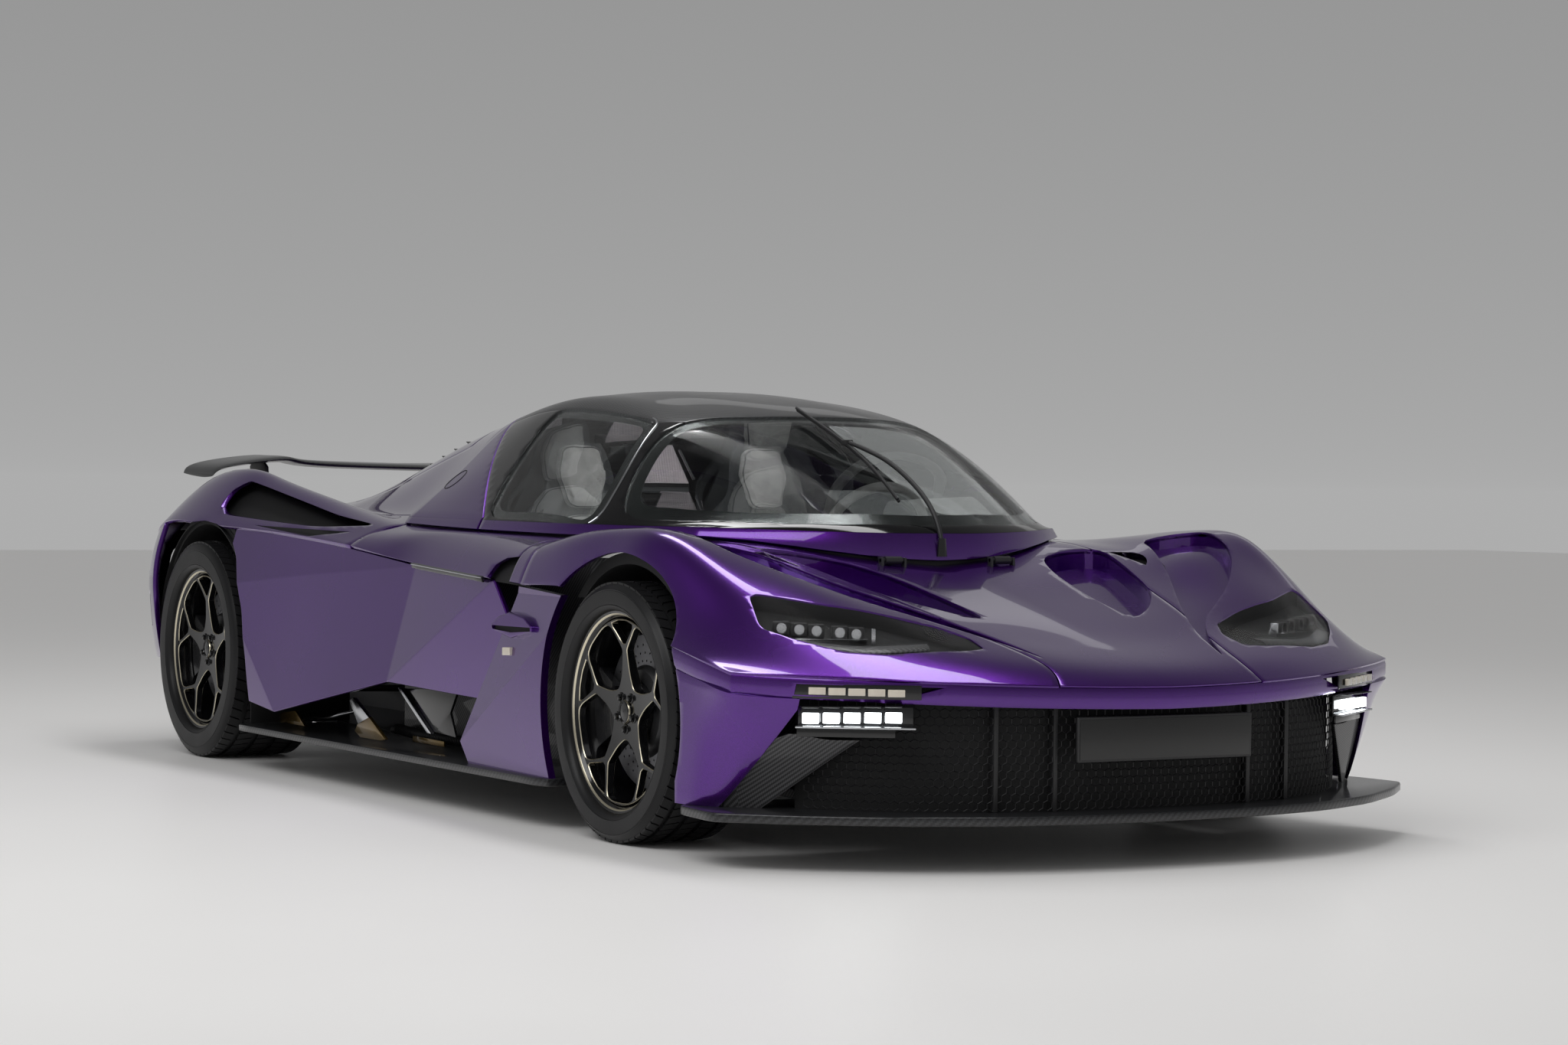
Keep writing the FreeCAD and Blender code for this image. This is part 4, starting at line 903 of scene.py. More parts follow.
def makeRim(end):
    size = wheelSizes[end]
    x, z, face, flange = size["x"] / 1000, size["radius"] / 1000, size["face"], size["flange"]
    seat = flange - 14
    drop = seat - 24
    back = face + 14 - size["width"] + 15
    radii = (12, 60, 100, 150, 200, drop + 4)
    heights = (-34, -33, -31, -27, -22, -17)
    front = [(r, face + h) for r, h in zip(radii, heights)]
    rear = [(r, face + h - t) for r, h, t in zip(radii, heights, (34, 30, 26, 22, 20, 20))]
    plate = spunSolid("rimPlate", front + rear[::-1], (x, 0, z), 60)
    windows = []
    for k in range(rimStyle["spokes"]):
        turn = 90 + 72 * k
        b, w = rimStyle["branchRadius"], rimStyle["windowRadius"]
        half = [(96, 24), (b - 8, 31.2), (b + 4, 31.4), (drop - 2, 18.6), (drop + 1, 9)]
        big = [polar(w, 0)] + [polar(r, -a) for r, a in half] + [polar(r, a) for r, a in reversed(half)]
        small = [polar(b + 9, 0), polar(drop - 2, 15.2), polar(drop + 1, 5), polar(drop + 1, -5),
            polar(drop - 2, -15.2)]
        windows.append(windowCutter(rounded(big, 2, 0.2), size, turn + 36))
        windows.append(windowCutter(rounded(small, 1, 0.12), size, turn))
    cutAway(plate, [joinAll(windows, "windows")])
    editAll(plate)
    closeUp(0.0007)
    # the spokes' bevelled edges take the pale painted highlight
    painted(plate, wheelBlack).data.materials.append(wheelEdge)
    applyModifier(plate, "BEVEL", width=rimStyle["edge"] / 1000, segments=1, limit_method="ANGLE",
        angle_limit=math.radians(60), use_clamp_overlap=False, material=1)
    lip = [(seat, back), (seat, back + 30), (seat - 8, back + 60), (seat - 8, face - 50),
        (seat, face - 20), (seat + 10, face - 10), (flange - 1, face - 8), (flange, face - 4),
        (flange, face), (flange - 5, face + 1), (flange - 10, face - 1), (flange - 13, face - 7),
        (flange - 20, face - 9), (flange - 24, face - 13), (drop + 4, face - 24), (drop, face - 34),
        (drop - 2, face - 60), (drop - 2, back + 40), (drop + 4, back + 12), (flange - 22, back)]
    barrel = spunSolid("rimBarrel", lip, (x, 0, z), 96)
    painted(barrel, wheelBlack).data.materials.append(wheelEdge)
    paintedHighlightRing(barrel, x, z, flange - 24, flange - 20.5, face - 15)
    bolts = []
    for k in range(rimStyle["spokes"]):
        u, v = polar(rimStyle["boltCircle"], 90 + 36 + 72 * k)
        place = (x + u / 1000, 0, z + v / 1000)
        seatRing = spunSolid("boltSeat", ((7, face - 37), (13, face - 37), (13, face - 32),
            (10.5, face - 30), (7, face - 33)), place, 24)
        head = addDrum(6, 0.008, 0.016, (place[0], (face - 31) / 1000, place[2]))
        bolts += [painted(seatRing, wheelBlack), worked(head, 0.0012, wheelBlack)]
    cap = spunSolid("centreCap", ((1, face - 40), (30, face - 40), (30, face - 30), (28, face - 26),
        (24, face - 24), (22, face - 27), (8, face - 25.5), (1, face - 25)), (x, 0, z), 48)
    painted(cap, wheelBlack).data.materials.append(wheelEdge)
    paintedHighlightRing(cap, x, z, 28.5, 1000, face - 29)
    hub = spunSolid("hubBack", ((25, face - 71), (74, face - 71), (74, face - 56), (25, face - 50)),
        (x, 0, z), 48)
    return joinAll([plate, barrel, cap, painted(hub, wheelBlack)] + bolts, "rim" + end.title() + "Left")


def makeTyre(end):
    size = wheelSizes[end]
    x, z, face = size["x"] / 1000, size["radius"] / 1000, size["face"]
    seat, radius, groove = size["flange"] - 14, size["radius"], treadStyle["groove"]
    inner, outer = face + 14 - size["width"], face + 14
    mid = (seat + radius) / 2 + 4
    side = [(seat, 16), (seat + 6, 6), (seat + 14, 1.5), (seat + 15.5, 2.5), (seat + 17, 0.9), (mid, 0),
        (mid + 9, 0.6), (mid + 10.5, 1.9), (mid + 12, 1.3), (radius - 19, 4.5), (radius - 12, 9),
        (radius - groove, 15.5)]
    profile = [(r, outer - d) for r, d in side] + [(r, inner + d) for r, d in reversed(side)]
    carcass = spunSolid("tyreCarcass", profile, (x, 0, z), 120)
    pitch = 2 * math.pi / treadStyle["blocks"]
    width = size["width"] - 30
    middle = (inner + outer) / 2
    blocks = []
    for row, (share, wide) in enumerate(treadStyle["rows"]):
        lowY, highY = middle + (share - wide / 2) * width, middle + (share + wide / 2) * width
        lowY, highY = max(lowY, inner + 15), min(highY, outer - 15)
        arc = radius * pitch * (1 - treadStyle["gap"]) / 2
        skew = treadStyle["skew"][row]
        low, high = radius - groove - 2, radius - 0.35
        clearSelection()
        bpy.ops.mesh.primitive_cube_add(size=1)
        block = bpy.context.object
        block.name = "treadBlock"
        for vertex in block.data.vertices:
            sx, sy, sz = (1 if c > 0 else -1 for c in vertex.co)
            y = (highY if sy > 0 else lowY) / 1000
            atEdge = (row == 0 and sy < 0) or (row == 4 and sy > 0)
            top = high - treadStyle["edgeDrop"] if atEdge else high
            vertex.co = ((sx * arc + sy * skew) / 1000, y, (top if sz > 0 else low) / 1000)
        editAll(block)
        closeUp()
        blocks.append(block)
    tread = joinAll(blocks, "tread")
    clearSelection()
    bpy.ops.object.empty_add(rotation=(0, pitch, 0))
    turner = bpy.context.object
    applyModifier(tread, "ARRAY", count=treadStyle["blocks"], use_relative_offset=False,
        use_object_offset=True, offset_object=turner)
    bpy.data.objects.remove(turner)
    tread.location = (x, 0, z)
    makeActive(tread)
    settle()
    return joinAll([carcass, tread], "tyre" + end.title() + "Left")


def makeDisc(end):
    size = wheelSizes[end]
    x, z, hub, rotor = size["x"] / 1000, size["radius"] / 1000, size["face"] - 71, size["rotor"]
    ring = spunSolid("discRing", ((112, hub - 49), (rotor - 1, hub - 49), (rotor, hub - 48),
        (rotor, hub - 40), (rotor - 9, hub - 39), (rotor - 9, hub - 29), (rotor, hub - 28),
        (rotor, hub - 20), (rotor - 1, hub - 19), (112, hub - 19)), (x, 0, z), 96)
    holes = []
    for k in range(36):
        for radius, offset in ((126, 0), (146, 3.4), (166, 6.8)):
            u, v = polar(radius, k * 10 + offset)
            holes.append(addDrum(8, 0.0032, 0.05, (x + u / 1000, (hub - 34) / 1000, z + v / 1000)))
    cutAway(ring, [joinAll(holes, "holes")])
    hat = spunSolid("discHat", ((24.2, hub - 26), (100, hub - 27), (104, hub - 50), (116, hub - 50),
        (116, hub - 18), (110, hub - 6), (104, hub - 1), (60, hub), (24.2, hub)), (x, 0, z), 64)
    return joinAll([painted(ring, discIron), painted(hat, steelBlack)], "disc" + end.title() + "Left")


def wheelPair(left, end, kind, material):
    right = mirrorCopy(left, left.name.replace("Left", "Right"))
    for obj, side in ((left, "left"), (right, "right")):
        dress(obj, material, "wheel_" + end + "_" + side, [kind + "_" + end + "_" + side])


for end in ("front", "rear"):
    wheelPair(makeTyre(end), end, "tyre", tyreRubber)
    wheelPair(makeRim(end), end, "rim", None)
    wheelPair(makeDisc(end), end, "disc", None)
print("wheels made")


# canopy: roof, pillars, foot strip, glass and the fixed quarters behind the shut line
canopyStyle = {"skin": 24, "pane": 6, "shutGap": 12, "screenFrit": 42, "sideFrit": 26, "glassGap": 1.6,
    "fritGap": 2.5, "foot": 16, "flapPlace": (-415, -620), "flapRadius": 46, "groove": 0.0016}
# each hinge: its axis in side view, the two places across, then the box of an ear and of an arm
hinges = {
    "canopy": {"place": (1290, 700), "y": 170, "ear": (-9, 9, -30, 7), "arm": (-52, -8, 1, 9)},
    "lid": {"place": (-809, 1085), "y": 140, "ear": (-7, 24, -9, 5), "arm": None}}
roofOutline = ((760, 0), (760, 215), (560, 372), (470, 425), (350, 436), (-800, 430), (-800, 0))
shutRegion = canopyShut + ((-700, 1300), (-700, 600))
# middle lines of the blade and the arm: (x, y, z)
wiperLine = {
    "blade": ((640, -75, 1099), (780, -75, 1049), (900, -74, 1002), (1000, -73, 956), (1100, -72, 897),
        (1160, -70, 852)),
    "arm": ((1263, 0, 735), (1252, -2, 790), (1180, -5, 868), (1043, -18, 950), (960, -58, 990),
        (915, -74, 1004))}


wholeCanopy = bothSides(canopyNet)
screenShape, sideShape = fullOutline(openings["screen"]), openings["side"]
screenOutline, sideOutline = rounded(screenShape, 2, 0.18), rounded(sideShape, 2, 0.18)


def shutCutter(name, shift):
    return sideSolid(name, [(x + shift, z) for x, z in shutRegion], -900, 900)


def hingeParts(name, side):
    # pins with their ears on the fixed side, or eyes with their arms on the moving side
    hinge = hinges[name]
    x, z = (v / 1000 for v in hinge["place"])
    pieces = []

    def block(kind, low, high):
        back, front, under, top = (v / 1000 for v in hinge[kind])
        pieces.append(softenEdges(addBox(kind, (x + back, low, z + under), (x + front, high, z + top)),
            0.001))
    for y in (-hinge["y"] / 1000, hinge["y"] / 1000):
        if side == "moving":
            pieces.append(spunSolid("eye", ((5.3, -25), (10.5, -25), (10.5, 25), (5.3, 25)), (x, y, z), 32))
            if hinge["arm"]:
                block("arm", y - 0.014, y + 0.014)
            continue
        pieces.append(addRod("pin", (x, y - 0.038, z), (x, y + 0.038, z), 0.005, 20))
        block("ear", y - 0.038, y - 0.031)
        block("ear", y + 0.031, y + 0.038)
    return [painted(piece, steelBlack) for piece in pieces]


def makeCanopy():
    shell = netPanel("canopyShell", wholeCanopy, canopyStyle["skin"])
    sides = [planSolid("sideHole", outline, 700, 1300)
        for outline in (sideOutline, mirroredOutline(sideOutline))]
    cutAway(shell, [planSolid("screenHole", screenOutline, 700, 1300)] + sides)
    quarters = copyOf(shell, "quarters")
    cutAway(shell, [shutCutter("shut", canopyStyle["shutGap"])])
    keepInside(quarters, shutCutter("shut", 0))
    roofCutter = planSolid("roofCutter", fullOutline(roofOutline), 900, 1300)
    roof = cutAway(copyOf(shell, "roof"), [roofCutter], "INTERSECT", keep=True)
    pillars = cutAway(shell, [roofCutter])
    strip = netPanel("footStrip", bothSides(np.array([footLine, beltLine])), canopyStyle["foot"], (1, 0, 0))
    stripRear = keepInside(copyOf(strip, "stripRear"), shutCutter("shut", 0))
    cutAway(strip, [shutCutter("shut", canopyStyle["shutGap"])])
    for piece in (strip, quarters, stripRear):
        worked(piece, 0.0015, bodyPaint)
    worked(roof, 0.0015, carbonGloss)
    worked(pillars, 0.0015, glossBlack)
    canopy = joinAll([roof, pillars, strip] + hingeParts("canopy", "moving"), "canopyShell")
    rear = joinAll([quarters, stripRear], "roofQuarters")
    x, y = canopyStyle["flapPlace"]
    radius = canopyStyle["flapRadius"]
    ring = [(x + radius * math.cos(a), y + 0.62 * radius * math.sin(a))
        for a in np.linspace(0, 2 * math.pi, 49)[:-1]]
    flap = painted(tubeAlong("flapGroove", laidOn(rear, ring), canopyStyle["groove"], 2, True), sealRubber)
    dress(canopy, None, "canopy", ["canopy_frame"])
    dressWhole([rear, flap], "roofQuarters", "roof_quarters")


def makePanes():
    # clear panes with a black printed border just under the glass
    pane = netPanel("pane", wholeCanopy, canopyStyle["pane"])
    border = netPanel("border", offsetNet(wholeCanopy, canopyStyle["pane"] + 0.4), 0.8)
    made = {}

    def within(shape, gap):
        return planSolid("trim", rounded(insetOutline(shape, gap), 2, 0.18), 700, 1300)
    for key, shape, frit in (("windscreen", screenShape, canopyStyle["screenFrit"]),
            ("sideGlass", sideShape, canopyStyle["sideFrit"])):
        glass = keepInside(copyOf(pane, key), within(shape, canopyStyle["glassGap"]))
        ring = keepInside(copyOf(border, key + "Frit"), within(shape, canopyStyle["fritGap"]))
        cutAway(ring, [within(shape, frit)])
        if key == "sideGlass":
            for piece in (glass, ring):
                cutAway(piece, [shutCutter("shut", canopyStyle["shutGap"] + 2)])
            glass, ring = withTwin(glass), withTwin(ring)
        softenEdges(glass, 0.0008, 1)
        made[key] = glass
        dress(painted(ring, fritBlack), None, "canopy")
    edge = densely(insetOutline(sideOutline, -9), 8)
    nose = sorted((p for p in edge if p[0] > 430 and p[1] < 745), key=lambda p: p[1])
    rail = tubeAlong("divisionRail", laidOn(netSheet("tempSkin", canopyNet), nose, 0.4), 0.0028, 3)
    bpy.data.objects.remove(bpy.data.objects["tempSkin"])
    dress(withTwin(painted(rail, brightTrim)), None, "canopy")
    dress(made["windscreen"], windowGlass, "canopy", ["windscreen"])
    dress(made["sideGlass"], windowGlass, "canopy", ["side_glass"])
    for spare in (pane, border):
        bpy.data.objects.remove(spare)


def makeWiper():
    def metres(points, lift=0):
        return [(x / 1000, y / 1000, (z + lift) / 1000) for x, y, z in points]
    blade = metres(wiperLine["blade"])
    pieces = [tubeAlong("rubber", blade, 0.0045, 2),
        tubeAlong("spoiler", [(x, y - 0.004, z + 0.006) for x, y, z in blade], 0.004, 3),
        tubeAlong("arm", metres(wiperLine["arm"], 4), 0.0065, 4)]
    x, y, z = metres(wiperLine["arm"])[0]
    pieces.append(addRod("knuckle", (x - 0.002, y, z - 0.026), (x - 0.002, y, z + 0.022), 0.015, 32, 0.011))
    pieces.append(softenEdges(addBox("clip", (0.888, -0.087, 0.999), (0.914, -0.061, 1.016)), 0.003))
    for piece in pieces:
        painted(piece, satinBlack)
    painted(pieces[3], glossBlack)
    dress(joinAll(pieces, "wiper"), None, "canopy", ["wiper"])


def makeCowlSeal():
    # a rubber lip round the cockpit, inside the foot of the canopy
    foot = np.array(footLine, float)
    inner = insetOutline(fullOutline([(x, y) for x, y, z in footLine] + [(-480, 0)]), 25)[:len(footLine)]
    low, high = ([(x, y, z + rise) for (x, y), z in zip(inner, foot[:, 2])] for rise in (-46, 6))
    lip = netPanel("cowlSeal", bothSides(np.array([low, high])[:, :-1]), 4, (1, 0, 0))
    dress(softenEdges(lip, 0.0012), sealRubber)


makeCanopy()
makePanes()
makeCowlSeal()
makeWiper()
dress(joinAll(hingeParts("canopy", "fixed"), "bonnetHinges"), None)
print("canopy, glass and wiper made")


# nose: crease band, corners, grille, plate, splitter and lamps
noseStyle = {"bandDepth": 20, "bandHeight": 40, "floor": 134, "hexPitch": 23, "hexWall": 3.0, "grilleTop": 398,
    "plate": (2245, 513, 107, 304), "splitter": (112, 134)}
cornerRows = (((2113, 620, 388), (1985, 745, 270), (1850, 880, 134)),
    ((2024, 780, 395), (1930, 842, 280), (1812, 920, 134)),
    ((1944, 900, 400), (1875, 930, 300), (1775, 950, 134)),
    ((1881, 985, 408), (1815, 968, 300), (1740, 975, 134)),
    ((1780, 1000, 428), (1750, 992, 300), (1710, 990, 134)),
    ((1648, 1005, 452), (1646, 1003, 300), (1646, 1001, 134)))
cornerCut = ((560, 440), (854, 440), (854, 372), (958, 120), (560, 120))
cheekOutline = ((648, 318), (700, 300), (775, 300), (850, 316), (880, 300), (956, 134), (846, 134),
    (820, 150), (764, 176), (717, 235), (674, 278))
turnSlot = ((560, 427), (862, 433), (866, 408), (650, 401))
grilleLine = ((2225, 0), (2213, 200), (2175, 400), (2112, 560), (2030, 680), (1900, 800))
splitterLine = ((2313, 0), (2300, 260), (2255, 480), (2160, 700), (2020, 900), (1895, 1032), (1850, 1035),
    (1690, 1020), (1660, 930), (1660, 560), (1660, 0))
dayLine = {"outer": (1957, 862, 352), "inner": (2126, 624, 358), "cells": 5}
turnLine = {"outer": (2003, 852, 418), "inner": (2132, 662, 414), "cells": 5}
lampRow = ((1796, 800), (1818, 764), (1838, 728), (1862, 678), (1878, 642))
bladeEdge = ((1836, 822), (1900, 750), (1950, 668), (1974, 580), (1976, 500))
noseChain = np.concatenate([noseNet[0], noseNet[1:2 * steps + 5, -1]])


def mixed(a, b, share):
    return tuple(p + (q - p) * share for p, q in zip(a, b))


def inMetres(point):
    return Vector([c / 1000 for c in point])


def addLampCell(name, centre, way, width, height, depth, material):
    # a small box whose front face looks along a way on the plan
    clearSelection()
    bpy.ops.mesh.primitive_cube_add(size=1)
    cell = bpy.context.object
    cell.name = name
    turn = Vector((way[0], way[1], 0)).to_track_quat("X", "Z").to_matrix().to_4x4()
    size = Matrix.Diagonal((depth / 1000, width / 1000, height / 1000, 1))
    cell.matrix_world = Matrix.Translation(inMetres(centre)) @ turn @ size
    settle()
    return worked(cell, 0.0015, material)


def repeated(obj, count, shift):
    applyModifier(obj, "ARRAY", count=count, use_relative_offset=False, use_constant_offset=True,
        constant_offset_displace=shift)


def hexSheet(name, pitch, columns, rows):
    # a flat honeycomb of six-sided faces that share their corners
    side = pitch / math.sqrt(3)
    clearSelection()
    bpy.ops.mesh.primitive_circle_add(vertices=6, radius=side / 1000, fill_type="NGON")
    sheet = bpy.context.object
    repeated(sheet, columns, (pitch / 1000, 0, 0))
    second = copyOf(sheet, "second")
    second.data.transform(Matrix.Translation((pitch / 2000, 1.5 * side / 1000, 0)))
    sheet = joinAll([sheet, second], name)
    repeated(sheet, (rows + 1) // 2, (0, 3 * side / 1000, 0))
    editAll(sheet)
    bpy.ops.mesh.remove_doubles(threshold=0.002)
    leaveEdit()
    return sheet


def makeNoseBand():
    drops = (noseStyle["bandHeight"] + 12, noseStyle["bandHeight"], 14, 3)
    pulls = (5, 0, 0, 3)
    rows = []
    for drop, pull in zip(drops, pulls):
        row = noseChain - (0, 0, drop)
        away = row[:, :2] - (1200, 0)
        away[:, 1] *= 0.75
        row[:, :2] -= pull * away / np.linalg.norm(away, axis=1, keepdims=True)
        rows.append(row)
    band = netPanel("noseBand", bothSides(np.array(rows)), noseStyle["bandDepth"], (1, 0, 0))
    cutAway(band, [frontSolid("slot", outline, 1700, 2300)
        for outline in (turnSlot, [(-y, z) for y, z in turnSlot])]
        + [frontArchCutter(side) for side in (1, -1)])
    fine = gridNet(cornerRows, 6, 6)
    corner = netPanel("noseCorner", fine, 20, (1, 1, 0))
    cheek = netPanel("noseCheek", fine - (10, 4, 0), 8, (1, 1, 0))
    cutAway(corner, [frontSolid("cut", cornerCut, 1600, 2300), frontArchCutter()])
    keepInside(cheek, frontSolid("keep", rounded(cheekOutline, 1, 0.15), 1600, 2300))
    cutAway(cheek, [frontArchCutter()])
    pieces = [worked(band, 0.0015, bodyPaint), withTwin(worked(corner, 0.0015, bodyPaint)),
        withTwin(worked(cheek, 0.0015, carbonSatin))]
    dressWhole(pieces, "noseMask", "nose_mask")


def makeGrille():
    # honeycomb laid along the curve of the grille, with a near-black sheet behind it as painted shade
    pitch, wall = noseStyle["hexPitch"], noseStyle["hexWall"]
    line = np.array([(x, -y) for x, y in reversed(grilleLine[1:])] + list(grilleLine), float)
    bends = splineWeights(len(line), 12) @ line
    reach = np.concatenate([[0], np.cumsum(np.linalg.norm(np.diff(bends, axis=0), axis=1))])
    reach -= reach[-1] / 2
    columns = int(reach[-1] * 2 / pitch) - 1
    floor, height = noseStyle["floor"], noseStyle["grilleTop"] - noseStyle["floor"]
    sheet = hexSheet("grilleSheet", pitch, columns, int(height / (1.5 * pitch / math.sqrt(3))))
    flat = np.array([v.co[:] for v in sheet.data.vertices]) * 1000
    u = flat[:, 0] - (flat[:, 0].min() + flat[:, 0].max()) / 2
    z = floor + 3 + (flat[:, 1] - flat[:, 1].min()) * (height - 6) / np.ptp(flat[:, 1])
    x, y = np.interp(u, reach, bends[:, 0]) - 8, np.interp(u, reach, bends[:, 1])
    sheet.data.vertices.foreach_set("co", (np.stack([x, y, z], 1) / 1000).ravel())
    sheet.data.update()
    applyModifier(sheet, "WIREFRAME", thickness=wall / 1000, use_replace=True, use_even_offset=False)
    back = np.array([[(x - 34, y, z) for x, y in bends]
        for z in (noseStyle["floor"], noseStyle["grilleTop"] + 26)])
    pieces = [painted(sheet, meshBlack), painted(netPanel("grilleShadowSheet", back, 4, (1, 0, 0)), deepBlack)]
    for y in (-430, -285, 285, 430):
        x = np.interp(abs(y), [q for p, q in grilleLine], [p for p, q in grilleLine])
        strut = addBox("strut", ((x - 24) / 1000, (y - 6) / 1000, 0.134),
            ((x - 2) / 1000, (y + 6) / 1000, 0.396))
        pieces.append(worked(strut, 0.002, satinBlack))
    dressWhole(pieces, "grilleMesh", "grille")


def makePlate():
    x, width, height, z = noseStyle["plate"]
    low = ((x - 12) / 1000, -width / 2000, (z - height / 2) / 1000)
    plate = addBox("plateBody", low, ((x - 1.5) / 1000, width / 2000, (z + height / 2) / 1000))
    face = addBox("plateFace", ((x - 1.6) / 1000, -width / 2000 + 0.006, low[2] + 0.006),
        (x / 1000, width / 2000 - 0.006, low[2] + height / 1000 - 0.006))
    holder = addBox("plateHolder", ((x - 38) / 1000, -0.2, 0.27), ((x - 11) / 1000, 0.2, 0.34))
    pieces = [worked(plate, 0.003, satinBlack, 3), worked(face, 0.0007, plateBlack),
        painted(holder, satinBlack)]
    dressWhole(pieces, "numberPlate", "plate")


def makeSplitter():
    low, high = noseStyle["splitter"]
    lip = planSolid("splitter", rounded(fullOutline(splitterLine), 2, 0.15), low, high)
    softenEdges(lip, 0.005, 3)
    dress(lip, carbonGloss, replaced=["splitter"])


def makeDayLamps():
    # a bright row over a pale carbon fin, and the turn lamp in its slot above
    pieces = []
    a, b = np.array(dayLine["outer"]), np.array(dayLine["inner"])
    way = Vector((0.82, 0.57, 0))
    pieces.append(addLampCell("dayBack", mixed(a, b, 0.5) - np.array((16, 10, 0)), way, 268, 52, 6,
        glossBlack))
    for k in range(dayLine["cells"]):
        centre = np.array(mixed(a, b, 0.14 + 0.165 * k))
        pieces.append(addLampCell("dayCell", centre - (4, 3, 0), way, 38, 24, 12, lampGlow))
        pieces.append(addLampCell("dayFin", centre + (0, 0, 26), way, 40, 3, 30, satinBlack))
    pieces.append(addLampCell("dayTray", mixed(a, b, 0.5) - np.array((2, 2, 22)), way, 280, 5, 30,
        brightTrim))
    pieces.append(addLampCell("daySlot", mixed(a, b, 0.42) - np.array((20, 14, 36)), way, 230, 20, 8,
        glossBlack))
    a, b = np.array(turnLine["outer"]), np.array(turnLine["inner"])
    turnWay = (0.83, 0.56)
    pieces.append(addLampCell("turnBack", mixed(a, b, 0.5) - np.array((22, 14, 0)), turnWay, 300, 34, 5,
        glossBlack))
    for k in range(turnLine["cells"]):
        centre = np.array(mixed(a, b, 0.1 + 0.2 * k))
        pieces.append(addLampCell("turnCell", centre - (14, 9, 0), turnWay, 40, 17, 8, amberLens))
    pieces.append(addLampCell("turnLens", mixed(a, b, 0.5) - np.array((4, 3, 0)), turnWay, 214, 20, 3,
        lampLens))
    dressPair(pieces, "dayLamps", "day_lamps")


def makeHeadlamps():
    # a black bowl under the lens outline with a row of five lamps, a light bar and a carbon blade
    outline = rounded(openings["lamp"], 2, 0.12)
    side = noseNet[:, 2 * steps:]
    bowl = trayUnder("lampBowl", side - (0, 0, 4), 46, insetOutline(outline, -4), side + (0, 0, 30), 70,
        insetOutline(outline, 1))
    cutAway(bowl, [frontArchCutter()])
    pieces = [painted(bowl, deepBlack)]
    skin = netSheet("lampSkin", side)
    row = [place * 1000 for place in laidOn(skin, lampRow)]
    way = Vector((0.88, 0.47, 0))
    for place in row:
        centre = np.array(place) - (0, 0, 23)
        shell = addLampCell("lampCell", centre - (10, 4, 0), way, 38, 30, 34, satinBlack)
        hole = addRod("hole", inMetres(centre + (-12, -6, 0)), inMetres(centre + (14, 8, 0)), 0.0125, 32)
        cutAway(shell, [hole])
        dish = addRod("lampDish", inMetres(centre + (-10, -5, 0)), inMetres(centre), 0.012, 32)
        clearSelection()
        bpy.ops.mesh.primitive_uv_sphere_add(segments=24, ring_count=12, radius=0.0085,
            location=inMetres(centre + (1, 1, 0)))
        pieces += [shell, painted(dish, brightTrim), painted(bpy.context.object, lampLens)]
    pieces.append(addLampCell("lampBar", row[4] + Vector((14, -38, -28)), way, 10, 36, 20, brightTrim))
    pieces.append(addLampCell("lampRail", row[2] - Vector((2, 4, 43)), way, 236, 2.5, 30, brightTrim))
    edge = laidOn(skin, bladeEdge)
    bpy.data.objects.remove(skin)
    blade = np.array([np.array(place) * 1000 - (0, 0, 15) for place in edge])
    fine = splineWeights(5, 8) @ blade
    net = np.array([fine + (-26, -10, 6), fine, fine + (10, 4, -9)])
    pieces.append(worked(netPanel("lampBlade", net, 4), 0.001, carbonSatin))
    lens = netPanel("lampLens", offsetNet(side, 1.0), 2.5)
    keepInside(lens, planSolid("trim", insetOutline(outline, 2.0), 200, 1300))
    pieces.append(painted(lens, lampLens))
    dressPair(pieces, "headlamps", "headlamps")


makeNoseBand()
makeGrille()
makePlate()
makeSplitter()
makeDayLamps()
makeHeadlamps()
print("nose, grille and lamps made")


# lower flanks, blades behind the front wheels, skirts and what shows in the side openings
flankCorners = (
    (-1300, 960, 733), (-735, 930, 712), (-53, 910, 652), (519, 942, 630), (620, 925, 480), (430, 912, 300),
    (-168, 945, 317), (-880, 1000, 187), (-1300, 1004, 230), (-735, 952, 606), (-1300, 1012, 560))
flankFacets = ((0, 1, 9), (0, 9, 10), (10, 9, 7), (10, 7, 8), (9, 6, 7), (1, 2, 9), (2, 6, 9), (2, 3, 6),
    (3, 4, 6), (4, 5, 6))
bladeCorners = ((700, 955, 618), (1100, 990, 600), (1100, 982, 132), (417, 962, 132), (355, 958, 187),
    (690, 952, 600))
bladeFacets = ((0, 1, 5), (1, 4, 5), (1, 2, 4), (2, 3, 4))
skirtLine = ((935, 900), (935, 985), (880, 1000), (-1150, 1004), (-1190, 985), (-1150, 800), (-1150, 680),
    (880, 680))
podLine = ((594, 516), (640, 538), (703, 551), (790, 540), (836, 518), (834, 504), (715, 482), (600, 503))
# struts in the opening above the skirt, in side view: (x, z), with y from and to
# the bright edge pieces are painted highlights and the bronze feet and plates are painted gold reflections
strutPanels = (
    ("frontPanel", ((-205, 296), (168, 312), (121, 246), (158, 180), (31, 186), (-8, 183)), 872, 880,
        glossBlack),
    ("frontEdge", ((-217, 298), (-196, 298), (18, 181), (-11, 181)), 874, 890, brightTrim),
    ("rearStrut", ((-587, 237), (-556, 248), (-442, 196), (-520, 172)), 868, 880, brightTrim),
    ("rearFoot", ((-523, 174), (-444, 198), (-322, 140), (-360, 134), (-505, 134), (-546, 150)), 868, 879,
        bronzeTrim),
    ("rearPlate", ((-1207, 158), (-1046, 177), (-969, 134), (-1172, 134)), 850, 862, bronzeTrim),
    ("frontPlate", ((-293, 134), (-293, 152), (-78, 150), (-78, 134)), 800, 806, bronzeTrim))
hoseLine = ((-560, 745, 150), (-488, 760, 156), (-398, 762, 152), (-251, 762, 149), (-79, 760, 150),
    (60, 750, 160))
linkLine = ((-1190, 790, 150), (-1131, 800, 146), (-940, 800, 157), (-850, 800, 176), (-790, 770, 190))


